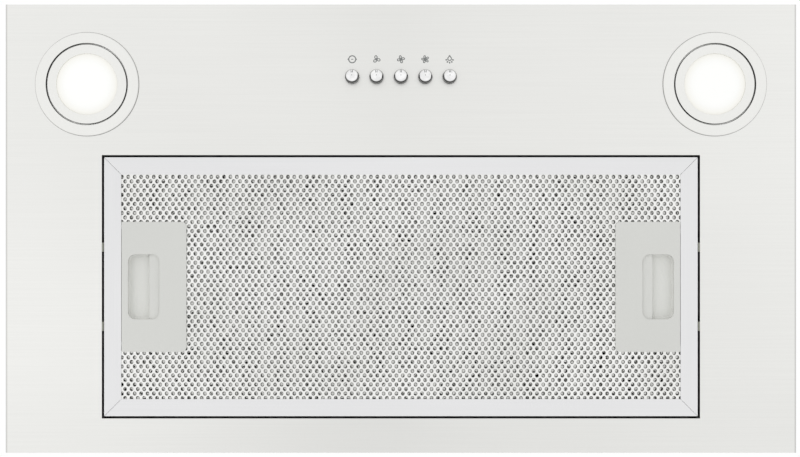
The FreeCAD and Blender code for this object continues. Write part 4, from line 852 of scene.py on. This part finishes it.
class HOOD_OT_lamps(bpy.types.Operator):
    """Turns the lamps' bezels, rings and lit lenses"""

    bl_idname = "hood.lamps"
    bl_label = "Lamps"

    def execute(self, context):
        bezel_points = [(26.85, 1.2), (26.85, -0.55), (27.0, -0.85), (27.35, -1.0), (33.35, -1.0), (33.8, -0.86),
                        (34.12, -0.5), (34.25, -0.1), (34.25, 0.0), (29.6, 0.0), (29.6, 15.6), (29.2, 16.0),
                        (0.0, 16.0), (0.0, 14.4), (28.0, 14.4), (28.0, 1.2), (26.85, 1.2)]
        ring_points = [(20.0, 0.6), (20.0, -0.35), (20.15, -0.68), (20.5, -0.8), (25.6, -0.8), (25.95, -0.68),
                       (26.2, -0.3), (26.2, 1.35), (27.6, 1.35), (27.6, 3.4), (22.85, 3.4), (22.85, 0.6), (20.0, 0.6)]
        crown = [(19.92 * math.sin(step * math.pi / 20), -0.2 - 0.8 * math.cos(step * math.pi / 20))
                 for step in range(11)]
        lens_points = [*crown, (19.92, 0.6), (22.5, 0.6), (22.5, 2.4), (0.0, 2.4)]
        colours = context.scene.hood_colours
        for kind, points, slot in (("bezel", bezel_points, "satin_silver"), ("ring", ring_points, "satin_silver"),
                                   ("lens", lens_points, "lens_glass")):
            left = turned(f"lamp_{kind}_left_turned", LAMP_CENTRE, points, 128)
            if kind == "ring":
                self.keep_lip_pale(left, colours)
            right = moved_copy(left, f"lamp_{kind}_right_turned", (-2 * LAMP_CENTRE.x, 0, 0))
            for name, piece in (("left", left), ("right", right)):
                if kind == "lens":
                    material = lit_lens(f"lamp_lens_{name}", middle_of(f"lamp_lens_{name}"), colours).material
                else:
                    material = finish_of(slot)
                finish(piece, "hood", material, [f"lamp_{kind}_{name}"])
        return {"FINISHED"}

    def keep_lip_pale(self, ring, colours):
        """Paints the lip that the lens shines on as lit: a copy of the satin without its painted wall shade."""
        pale = satin("lit_lip", colours).material
        ring.data.materials.append(finish_of("satin_silver"))
        ring.data.materials.append(pale)
        lip = LENS_REACH + 0.1 * MM
        paint_faces(ring, 1, lambda face: (face.calc_center_median() - LAMP_CENTRE).xy.length < lip)


class HOOD_OT_buttons(bpy.types.Operator):
    """Turns one domed chrome button with its skirt, which is painted dark as shade, and copies it along the row"""

    bl_idname = "hood.buttons"
    bl_label = "Buttons"

    def execute(self, context):
        rim, crown = -5.0, -7.5
        widest = context.scene.hood_sizes.button_radius / MM
        dome = []
        for step in range(13):
            angle = step * math.pi / 24
            dome.append(((widest - 0.2) * math.sin(angle), rim - 0.1 + (crown - rim + 0.1) * math.cos(angle)))
        dome[0] = (0.0, crown + 0.18)
        dome.insert(1, (0.28, crown + 0.02))
        points = [*dome, (widest - 0.08, rim + 0.05), (widest, rim + 0.3), (widest, 0.95), (6.2, 0.95), (6.2, 1.95),
                  (2.0, 1.95), (2.0, 18.3), (1.8, 18.5), (0.0, 18.5)]
        first = turned("button_off_turned", BUTTON_CENTRE, points, 64)
        colours = context.scene.hood_colours
        skirt = self.chrome_skirt(colours, FACE + rim * MM).material
        first.data.materials.append(None)
        first.data.materials.append(skirt)

        def is_dark(face):
            """The skirt, which takes painted shade, and a pair of small dark streaks near the front of the cap, which
            are painted reflections.
            """
            spot = (face.calc_center_median() - Vector((BUTTON_CENTRE.x, BUTTON_CENTRE.y, FACE))) / MM
            streak = 0.2 < abs(spot.x) < 0.6 and -3.7 < spot.y < -2.2
            return spot.z > rim + 0.02 or streak

        paint_faces(first, 1, is_dark)
        for name, piece in along_row(first, "button_{}_turned"):
            piece.data.materials[0] = chrome_cap(f"chrome_{name}", middle_of(f"button_{name}"), colours).material
            finish(piece, f"push_{name}", None, [f"button_{name}"])
        return {"FINISHED"}

    def chrome_skirt(self, colours, rim):
        """Chrome with painted shade: dark where it turns in under the cap."""
        made = worn("button_skirt", scaled(colours.chrome, 0.8), 0.2, 0.05, 900, Metallic=1.0)
        # Painted shade: near black at the cap's rim, paler towards the face.
        made.tint((0, 0.02), (0.8, 0.03), (0.93, 0.35), (1, 0.85), by=made.along("Z", rim, FACE))
        return made


class HOOD_OT_symbols(bpy.types.Operator):
    """Prints a small symbol in front of each button"""

    bl_idname = "hood.symbols"
    bl_label = "Symbols"

    def execute(self, context):
        sizes = context.scene.hood_sizes
        ink = worn("printed_ink", context.scene.hood_colours.ink, 0.6, 0.06, 1800).material
        self.sizes = sizes
        self.strokes = 0
        for name in BUTTON_NAMES:
            spot = middle_of(f"button_{name}") - Vector((0, sizes.symbol_forward, 0))
            self.middle = Vector((spot.x, spot.y, FACE))
            if name == "off":
                shapes = self.off_mark()
            elif name == "light":
                shapes = self.light_mark()
            else:
                shapes = self.fan_mark({"speed_1": 3, "speed_2": 4, "speed_3": 5}[name])
            symbol = joined(shapes, f"symbol_{name}")
            editing(symbol)
            bpy.ops.mesh.select_mode(type="FACE")
            select_all()
            push((0, 0, -sizes.ink_height))
            turn_outward()
            done_editing()
            finish(symbol, "hood", ink)
        return {"FINISHED"}

    def disc(self, radius, place=(0, 0), squash=1.0, hollow=0.0, turn=0.0, sides=28):
        """A flat disc or ring, squashed across, moved out and turned about the symbol's middle."""
        shape = begin(bpy.ops.mesh.primitive_circle_add, "stroke", scale=(squash, 1, 1), vertices=sides,
                      radius=radius, fill_type="NGON")
        if hollow:
            editing(shape)
            self.hollow_out(hollow)
        self.put(shape, place, turn)
        return shape

    def dash(self, width, height, place=(0, 0), turn=0.0):
        shape = begin(bpy.ops.mesh.primitive_plane_add, "stroke", scale=(width, height, 1), size=1)
        editing(shape)
        select_all()
        bpy.ops.mesh.bevel(offset=min(width, height) * 0.4, segments=3, affect="VERTICES")
        done_editing()
        self.put(shape, place, turn)
        return shape

    def hollow_out(self, stroke):
        """Leaves just a line of ink along a shape's outline."""
        select_all()
        bpy.ops.mesh.inset(thickness=stroke)
        bpy.ops.mesh.delete(type="FACE")
        done_editing()

    def put(self, shape, place, turn):
        """Moves a shape out, turns it about the symbol's middle and lifts it a hair off the shapes before it."""
        only(shape)
        shape.location = (place[0], place[1], 0)
        bpy.ops.object.transform_apply(location=True, rotation=False, scale=False)
        shape.rotation_euler.z = turn
        self.strokes += 1
        shape.location = self.middle - Vector((0, 0, self.strokes % 20 * 0.002 * MM))
        settle()

    def off_mark(self):
        """A ring with a bump at each side and a dash inside."""
        radius = self.sizes.symbol_size / 2
        bumps = [self.disc(0.5 * MM, (way * (radius - 0.1 * MM), 0)) for way in (-1, 1)]
        return [self.disc(radius, hollow=self.sizes.symbol_stroke), self.dash(1.6 * MM, 0.5 * MM), *bumps]

    def fan_mark(self, blades):
        """Curved blades round a hub; the fewer there are, the more open each one is."""
        reach = self.sizes.symbol_size / 2
        blade, width = {3: (1.3, 0.84), 4: (1.2, 0.78), 5: (1.1, 0.76)}[blades]
        shapes = [self.disc(0.5 * MM)]
        for number in range(blades):
            turn = 2 * math.pi * number / blades
            shapes.append(self.disc(blade * MM, (-0.4 * MM, -reach + blade * MM), width, 0.57 * MM, turn, 20))
            shapes.append(self.dash(0.5 * MM, 1.2 * MM, (0.15 * MM, -0.6 * MM), turn))
        return shapes

    def light_mark(self):
        """A lamp with its point to the front and five rays behind it."""
        bulb = self.disc(1.5 * MM, (0, -0.4 * MM), sides=24)
        editing(bulb)
        tip = self.middle.y - 1.5 * MM
        pick(bulb, "verts", lambda vert: vert.co.y < tip)
        bpy.ops.transform.translate(value=(0, -0.9 * MM, 0))
        bpy.ops.transform.resize(value=(0.35, 1, 1), center_override=(self.middle.x, tip, FACE))
        bpy.ops.mesh.select_mode(type="FACE")
        self.hollow_out(0.62 * MM)
        rays = [self.dash(0.9 * MM, 1.2 * MM, (0, 2.2 * MM), math.radians(angle))
                for angle in (-80, -40, 0, 40, 80)]
        return [bulb, *rays]


class HOOD_OT_filter_frame(bpy.types.Operator):
    """Folds the filter's four rails and cuts their mitres"""

    bl_idname = "hood.filter_frame"
    bl_label = "Filter frame"

    def execute(self, context):
        sizes = context.scene.hood_sizes
        low, high = RAILS_LOW, RAILS_HIGH
        lean = 1 / math.sqrt(2)
        front = self.channel("filter_rail_front", 1, low, high, sizes)
        side = self.channel("filter_rail_left", 0, low, high, sizes)
        for rail, x, y, outward in ((front, low.x, low.y, (-lean, lean, 0)), (front, high.x, low.y, (lean, lean, 0)),
                                    (side, low.x, low.y, (lean, -lean, 0)), (side, low.x, high.y, (lean, lean, 0))):
            self.mitre(rail, Vector((x, y, 0)), Vector(outward), sizes.mitre_gap)
        self.cut_windows(side)
        rear = across_filter(front, "filter_rail_rear")
        other = across_filter(side, "filter_rail_right")
        across = frame_metal("filter_frame_side", context.scene.hood_colours, 1).material
        for rail, node, material in ((front, "filter_rails_long", finish_of("filter_frame")),
                                     (rear, "filter_rails_long", finish_of("filter_frame")),
                                     (side, "filter_rails_short", across), (other, "filter_rails_short", across)):
            finish(rail, "grease_filter", material, [node], 50)
        return {"FINISHED"}

    def channel(self, name, axis, low, high, sizes):
        """A rail folded to a channel that opens inwards, along X for axis 1 and along Y for axis 0."""
        inner = low[axis] + sizes.rail_width
        along = 1 - axis
        points = []
        for across, height in ((inner, low.z), (low[axis], low.z), (low[axis], high.z), (inner, high.z)):
            point = [0, 0, height]
            point[axis] = across
            point[along] = low[along]
            points.append(point)
        rail = trace(name, points)
        select_all()
        run = [0, 0, 0]
        run[along] = high[along] - low[along]
        push(run)
        turn_outward()
        done_editing()
        wall = next(face for face in rail.data.polygons if abs(face.center[axis] - low[axis]) < HAIR)
        modify(rail, "SOLIDIFY", thickness=sizes.rail_sheet, offset=-1 if wall.normal[axis] < 0 else 1,
               use_even_offset=True)

        def is_outer(edge):
            spot = edge_middle(edge)
            level = min(abs(spot.z - low.z), abs(spot.z - high.z)) < HAIR
            return edge_along(edge, along) and level and abs(spot[axis] - low[axis]) < HAIR

        editing(rail)
        turn_outward()
        round_edges(rail, sizes.rail_edge, 4, is_outer)
        done_editing()
        return rail

    def mitre(self, rail, corner, outward, gap):
        """Cuts a rail back to its corner's diagonal, less half the joint."""
        editing(rail)
        select_all()
        bpy.ops.mesh.bisect(plane_co=corner - outward * gap, plane_no=outward, use_fill=True, clear_outer=True)
        done_editing()

    def cut_windows(self, rail):
        """Windows for the latch's prongs."""
        across = (RAILS_LOW.x - 2 * MM, RAILS_LOW.x + 2 * MM)
        heights = (SLIDER_LOW.z - SLIDE_PLAY, OVER_SLIDE)
        for way in (-1, 1):
            window = slab("window", across, 3.35 * MM, heights, FILTER_MIDDLE + way * PRONG_SPREAD)
            combine(rail, window, "DIFFERENCE")
        flatten(rail)


def first_corner(pitch, counts, off, level):
    """Where a sheet's first cell begins, if its middle is a little off the filter's."""
    (across, along), (columns, rows) = pitch, counts
    return off[0] - columns * across / 2, FILTER_MIDDLE + off[1] - rows * along / 2, level


def perforated(name, corner, pitch, counts, hole, fine):
    """A sheet of staggered round holes, modelled as one cell, repeated and trimmed.

    A hole has a radius, and in a fine sheet a narrower throat and a depth. A fine sheet has a back as well.
    """
    (across, along), (columns, rows) = pitch, counts
    cell = begin(bpy.ops.mesh.primitive_grid_add, name, scale=(across, along, 1), size=1,
                 x_subdivisions=4 if fine else 2, y_subdivisions=2 if fine else 1)
    editing(cell)
    bpy.ops.mesh.select_mode(type="FACE")
    select_all()
    bpy.ops.mesh.dissolve_faces()
    bpy.ops.mesh.inset(thickness=0.2 * MM)
    bpy.ops.transform.tosphere(value=1.0, center_override=(0, 0, 0))
    radius, throat, depth = hole
    size = max(vert.co.xy.length for face in bmesh.from_edit_mesh(cell.data).faces if face.select
               for vert in face.verts)
    narrow, tall = 0.9 * radius / size, 1.04 * radius / size
    bpy.ops.transform.resize(value=(narrow, tall, 1), center_override=(0, 0, 0))
    if fine:
        push((0, 0, depth))
        bpy.ops.transform.resize(value=(throat / radius, throat / radius, 1), center_override=(0, 0, depth))
    bpy.ops.mesh.delete(type="FACE")
    if fine:
        pick(cell, "edges", lambda edge: edge.is_boundary and edge_middle(edge).z < depth / 2)
        bpy.ops.mesh.duplicate_move(TRANSFORM_OT_translate={"value": (0, 0, depth)})
        pick(cell, "edges", lambda edge: edge_middle(edge).z > 0.9 * depth and len(edge.link_faces) < 2)
        bpy.ops.mesh.bridge_edge_loops()
    select_all()
    bpy.ops.mesh.flip_normals()
    bpy.ops.transform.translate(value=(corner[0] + across / 2, corner[1] + along / 2, corner[2]))
    done_editing()
    repeat(cell, columns, (across, 0, 0))
    repeat(cell, 2, (-across / 2, along, 0))
    repeat(cell, (rows + 1) // 2, (0, 2 * along, 0))
    trim_sheet(cell, corner, pitch)
    return cell


def cell_centre(face, corner, pitch):
    """The middle of the punched cell that a face belongs to, from the filter's middle."""
    across, along = pitch
    spot = face.calc_center_median()
    row = math.floor((spot.y - corner[1]) / along)
    start = corner[0] - row % 2 * across / 2
    column = math.floor((spot.x - start) / across)
    return start + (column + 0.5) * across, corner[1] + (row + 0.5) * along - FILTER_MIDDLE


def trim_sheet(sheet, corner, pitch):
    """Keeps the cells that the frame holds, less those behind the handles."""
    def is_waste(face):
        across, along = [abs(part) for part in cell_centre(face, corner, pitch)]
        return across > FIELD_X or along > FIELD_Y or (across > CUTOUT_X and along < CUTOUT_Y)

    editing(sheet)
    weld()
    cut_away(sheet, is_waste)
    done_editing()


class HOOD_OT_filter_mesh(bpy.types.Operator):
    """Punches the two halves of the filter's bright face with their rows of dished holes"""

    bl_idname = "hood.filter_mesh"
    bl_label = "Filter face"

    def execute(self, context):
        sizes = context.scene.hood_sizes
        counts = (90, 53)
        pitch = (sizes.hole_pitch_x, sizes.hole_pitch_y)
        corner = first_corner(pitch, counts, (-0.85 * MM, -1 * MM), MESH_LOW.z)
        hole = (sizes.hole_radius, sizes.hole_throat, sizes.hole_depth)
        left = perforated("filter_face_left", corner, pitch, counts, hole, True)
        editing(left)
        pick(left, "faces", lambda face: cell_centre(face, corner, pitch)[0] > 0)
        bpy.ops.mesh.separate(type="SELECTED")
        done_editing()
        right = next(piece for piece in context.selected_objects if piece != left)
        name_it(right, "filter_face_right")
        for half in (left, right):
            self.wall_up(half, sizes.hole_depth)
            finish(half, "grease_filter", finish_of("filter_mesh"), ["filter_mesh"], 30)
        return {"FINISHED"}

    def wall_up(self, half, depth):
        """Closes the outer edge between a half's two faces."""
        editing(half)
        pick(half, "edges", lambda edge: edge.is_boundary and edge_middle(edge).z < MESH_LOW.z + depth / 2)
        push((0, 0, depth))
        weld()
        turn_outward()
        done_editing()


class HOOD_OT_filter_core(bpy.types.Operator):
    """Makes the layers behind the filter's face: a second punched sheet and a pleated one"""

    bl_idname = "hood.filter_core"
    bl_label = "Filter core"

    def execute(self, context):
        level = CORE_LOW.z + 0.45 * MM
        self.punch_layer(context.scene.hood_sizes, level)
        self.fold_pleats(pleat_metal(context.scene.hood_colours).material, level + 0.7 * MM)
        return {"FINISHED"}

    def punch_layer(self, sizes, level):
        """The uneven sheet that shows through the holes of the face."""
        counts = (108, 53)
        pitch = (sizes.second_pitch, sizes.hole_pitch_y)
        corner = first_corner(pitch, counts, (0, -0.4 * MM), level)
        hole = (sizes.second_hole, sizes.second_hole, 0)
        layer = perforated("filter_layer", corner, pitch, counts, hole, False)
        editing(layer)
        select_all()
        bpy.ops.transform.vertex_random(offset=sizes.layer_wrinkle, uniform=1.0, normal=0.0, seed=4)
        done_editing()
        waves = bpy.data.textures.new("layer_waves", "CLOUDS")
        waves.noise_scale = sizes.wave_run
        modify(layer, "DISPLACE", texture=waves, texture_coords="LOCAL", direction="X", mid_level=0.5,
               strength=sizes.layer_wave)
        bpy.data.textures.remove(waves)
        modify(layer, "SOLIDIFY", thickness=sizes.layer_sheet, offset=-1)
        finish(layer, "grease_filter", finish_of("filter_core"), ["filter_core"], 30)

    def fold_pleats(self, metal, valley):
        """The pleated sheet on top, left open behind the handles."""
        pleats, low, high = 48, CORE_LOW, CORE_HIGH
        pitch = (high.x - low.x) / pleats
        crest = high.z - 0.3 * MM
        fold = trace("filter_pleats", [(low.x, low.y, valley), (low.x + pitch / 2, low.y, crest),
                                       (low.x + pitch, low.y, valley)])
        done_editing()
        repeat(fold, pleats, (pitch, 0, 0))

        def behind_handle(face):
            spot = face.calc_center_median()
            return abs(spot.x) > PLEAT_X and abs(spot.y - FILTER_MIDDLE) < PLEAT_Y

        editing(fold)
        weld()
        push((0, high.y - low.y, 0))
        for sign in (-1, 1):
            for place, normal in (((0, FILTER_MIDDLE + sign * PLEAT_Y, 0), (0, 1, 0)),
                                  ((sign * PLEAT_X, 0, 0), (1, 0, 0))):
                select_all()
                bpy.ops.mesh.bisect(plane_co=place, plane_no=normal)
        cut_away(fold, behind_handle)
        done_editing()
        modify(fold, "SOLIDIFY", thickness=0.25 * MM, offset=0)
        finish(fold, "grease_filter", metal, ["filter_core"], 20)


class HOOD_OT_handles(bpy.types.Operator):
    """Moulds a handle plate with its finger recess and turns a copy for the other side"""

    bl_idname = "hood.handles"
    bl_label = "Handles"

    def execute(self, context):
        sizes = context.scene.hood_sizes
        low, high = HANDLE_LOW, HANDLE_HIGH
        wall, play, corner = 1.2 * MM, 0.05 * MM, 3 * MM
        plate_top = low.z + wall
        plate = block("handle_left_moulded", low + Vector((play, 0, 0)), (high.x, high.y, plate_top))
        editing(plate)
        round_edges(plate, corner, 8, lambda edge: edge_along(edge, UP) and edge_middle(edge).x > high.x - MM)
        done_editing()
        # The pan and the roof wall in the finger recess and the latch slide, and the posts back the latch springs
        recess_out, recess_in, half = low.x + 4.3 * MM, low.x + 24.9 * MM, 21.35 * MM
        ledge = low.x + 18.1 * MM
        room_end, room_top = ledge + 8.2 * MM, high.z - 1.65 * MM
        post_end, post_top = high.x - 5.2 * MM, SLIDER_LOW.z + 5.2 * MM
        in_plate = low.z + wall / 2
        pan = slab("pan", (low.x + 2.4 * MM, ledge - 0.7 * MM), half + wall, (in_plate, high.z))
        roof = slab("roof", (ledge - 1.7 * MM, room_end + wall), half + wall, (OVER_SLIDE, high.z))
        slide_room = slab("slide_room", (ledge - 0.2 * MM, room_end), half, (OVER_SLIDE - MM, room_top))
        outline = slab("outline", (recess_out, recess_in), half, (low.z - MM, plate_top + 0.2 * MM))
        editing(outline)
        round_edges(outline, sizes.recess_corner, 10, lambda edge: edge_along(edge, UP))
        done_editing()
        finger_room = self.finger_room(recess_out, ledge + 0.5 * MM, half, sizes)
        for tool, operation in ((pan, "UNION"), (roof, "UNION"), (slide_room, "DIFFERENCE"), (outline, "DIFFERENCE"),
                                (finger_room, "DIFFERENCE")):
            combine(plate, tool, operation)
        for way in (-1, 1):
            post = slab("post", (post_end - wall, post_end), 3 * MM, (in_plate, post_top),
                        FILTER_MIDDLE + way * PRONG_SPREAD)
            combine(plate, post, "UNION")
        flatten(plate)
        soften(plate, 0.3 * MM, 50)
        other = across_filter(plate, "handle_right_moulded")
        plastic = handle_plastic(context.scene.hood_colours).material
        for name, piece in (("left", plate), ("right", other)):
            finish(piece, "grease_filter", plastic, [f"handle_{name}"], 40)
        return {"FINISHED"}

    def finger_room(self, outer, inner, half, sizes):
        """The room for a finger: its outer wall leans out under the plate and its floor rounds into the walls."""
        floor = HANDLE_LOW.z + sizes.recess_depth
        room = slab("finger_room", (outer, inner), half, (HANDLE_LOW.z - MM, floor))
        editing(room)
        round_edges(room, sizes.recess_corner, 10,
                    lambda edge: edge_along(edge, UP) and edge_middle(edge).x < outer + MM)
        pick(room, "verts", lambda vert: vert.co.z > floor - HAIR and vert.co.x < inner - MM)
        bpy.ops.transform.translate(value=(-0.8 * MM, 0, 0))
        round_edges(room, sizes.recess_scoop, 6,
                    lambda edge: (all(vert.co.z > floor - HAIR for vert in edge.verts)
                                  and edge_middle(edge).x < inner - 0.1 * MM))
        done_editing()
        return room


class HOOD_OT_springs(bpy.types.Operator):
    """Winds the button springs and the latch springs"""

    bl_idname = "hood.springs"
    bl_label = "Springs"

    def execute(self, context):
        sizes = context.scene.hood_sizes
        low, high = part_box("button_spring_off")
        first = self.wind("button_spring_off_wound", (high.x - low.x) / 2, high.z - low.z, sizes)
        self.put(first, ((low.x + high.x) / 2, (low.y + high.y) / 2, low.z))
        steel = finish_of("spring_steel")
        for name, piece in along_row(first, "button_spring_{}_wound"):
            finish(piece, "hood", steel, [f"button_spring_{name}"], 60)
            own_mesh(piece)
        for side in ("left", "right"):
            self.wind_latch(side, sizes, steel)
        return {"FINISHED"}

    def wind_latch(self, side, sizes, steel):
        node = f"latch_springs_{side}"
        low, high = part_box(node)
        radius = (high.z - low.z) / 2
        run = high.x - low.x
        coils = []
        for number, spot in enumerate((low.y + radius, high.y - radius)):
            coil = self.wind(f"{node}_{number}", radius, run, sizes)
            coil.rotation_euler.y = math.pi / 2
            self.put(coil, (low.x, spot, (low.z + high.z) / 2))
            coils.append(coil)
        pair = joined(coils, f"{node}_wound")
        finish(pair, "grease_filter", steel, [node], 60)
        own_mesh(pair)

    def put(self, coil, place):
        only(coil)
        coil.location = place
        settle()

    def wind(self, name, outer, run, sizes):
        """A coil that climbs from the origin along Z, its wire's ends closed."""
        wire = sizes.spring_wire / 2
        turns = sizes.spring_turns
        coil = begin(bpy.ops.mesh.primitive_circle_add, name, vertices=10, radius=wire, rotation=(math.pi / 2, 0, 0),
                     location=(outer - wire, 0, wire))
        modify(coil, "SCREW", axis="Z", steps=28, render_steps=28, iterations=turns,
               screw_offset=(run - 2 * wire) / turns, use_normal_calculate=True)
        editing(coil)
        bpy.ops.mesh.select_mode(type="EDGE")
        select_all()
        bpy.ops.mesh.fill_holes(sides=0)
        turn_outward()
        done_editing()
        return coil


class HOOD_OT_finishes(bpy.types.Operator):
    """Gives every frame node that still shows its finish"""

    bl_idname = "hood.finishes"
    bl_label = "Finishes of the other pieces"

    def execute(self, context):
        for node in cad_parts.values():
            if node.hide_render:
                continue
            for slot in node.material_slots:
                slot.material = finish_of(slot.material.name)
        return {"FINISHED"}


STEPS = (HOOD_OT_stage, HOOD_OT_fascia, HOOD_OT_lamps, HOOD_OT_buttons, HOOD_OT_symbols, HOOD_OT_filter_frame,
         HOOD_OT_filter_mesh, HOOD_OT_filter_core, HOOD_OT_handles, HOOD_OT_springs, HOOD_OT_finishes)


class HOOD_PT_panel(bpy.types.Panel):
    """Lists the steps that build the hood's looks"""

    bl_idname = "HOOD_PT_panel"
    bl_label = "Range hood"
    bl_space_type = "VIEW_3D"
    bl_region_type = "UI"
    bl_category = "Range hood"

    def draw(self, context):
        for step in STEPS:
            self.layout.operator(step.bl_idname)


CLASSES = (HoodSizes, HoodColours, *STEPS, HOOD_PT_panel)


def register():
    for kind in CLASSES:
        bpy.utils.register_class(kind)
    bpy.types.Scene.hood_sizes = PointerProperty(type=HoodSizes)
    bpy.types.Scene.hood_colours = PointerProperty(type=HoodColours)


def unregister():
    del bpy.types.Scene.hood_colours
    del bpy.types.Scene.hood_sizes
    for kind in reversed(CLASSES):
        bpy.utils.unregister_class(kind)


def main():
    register()
    for step in STEPS:
        group, name = step.bl_idname.split(".")
        getattr(getattr(bpy.ops, group), name)()


if __name__ == "__main__":
    main()
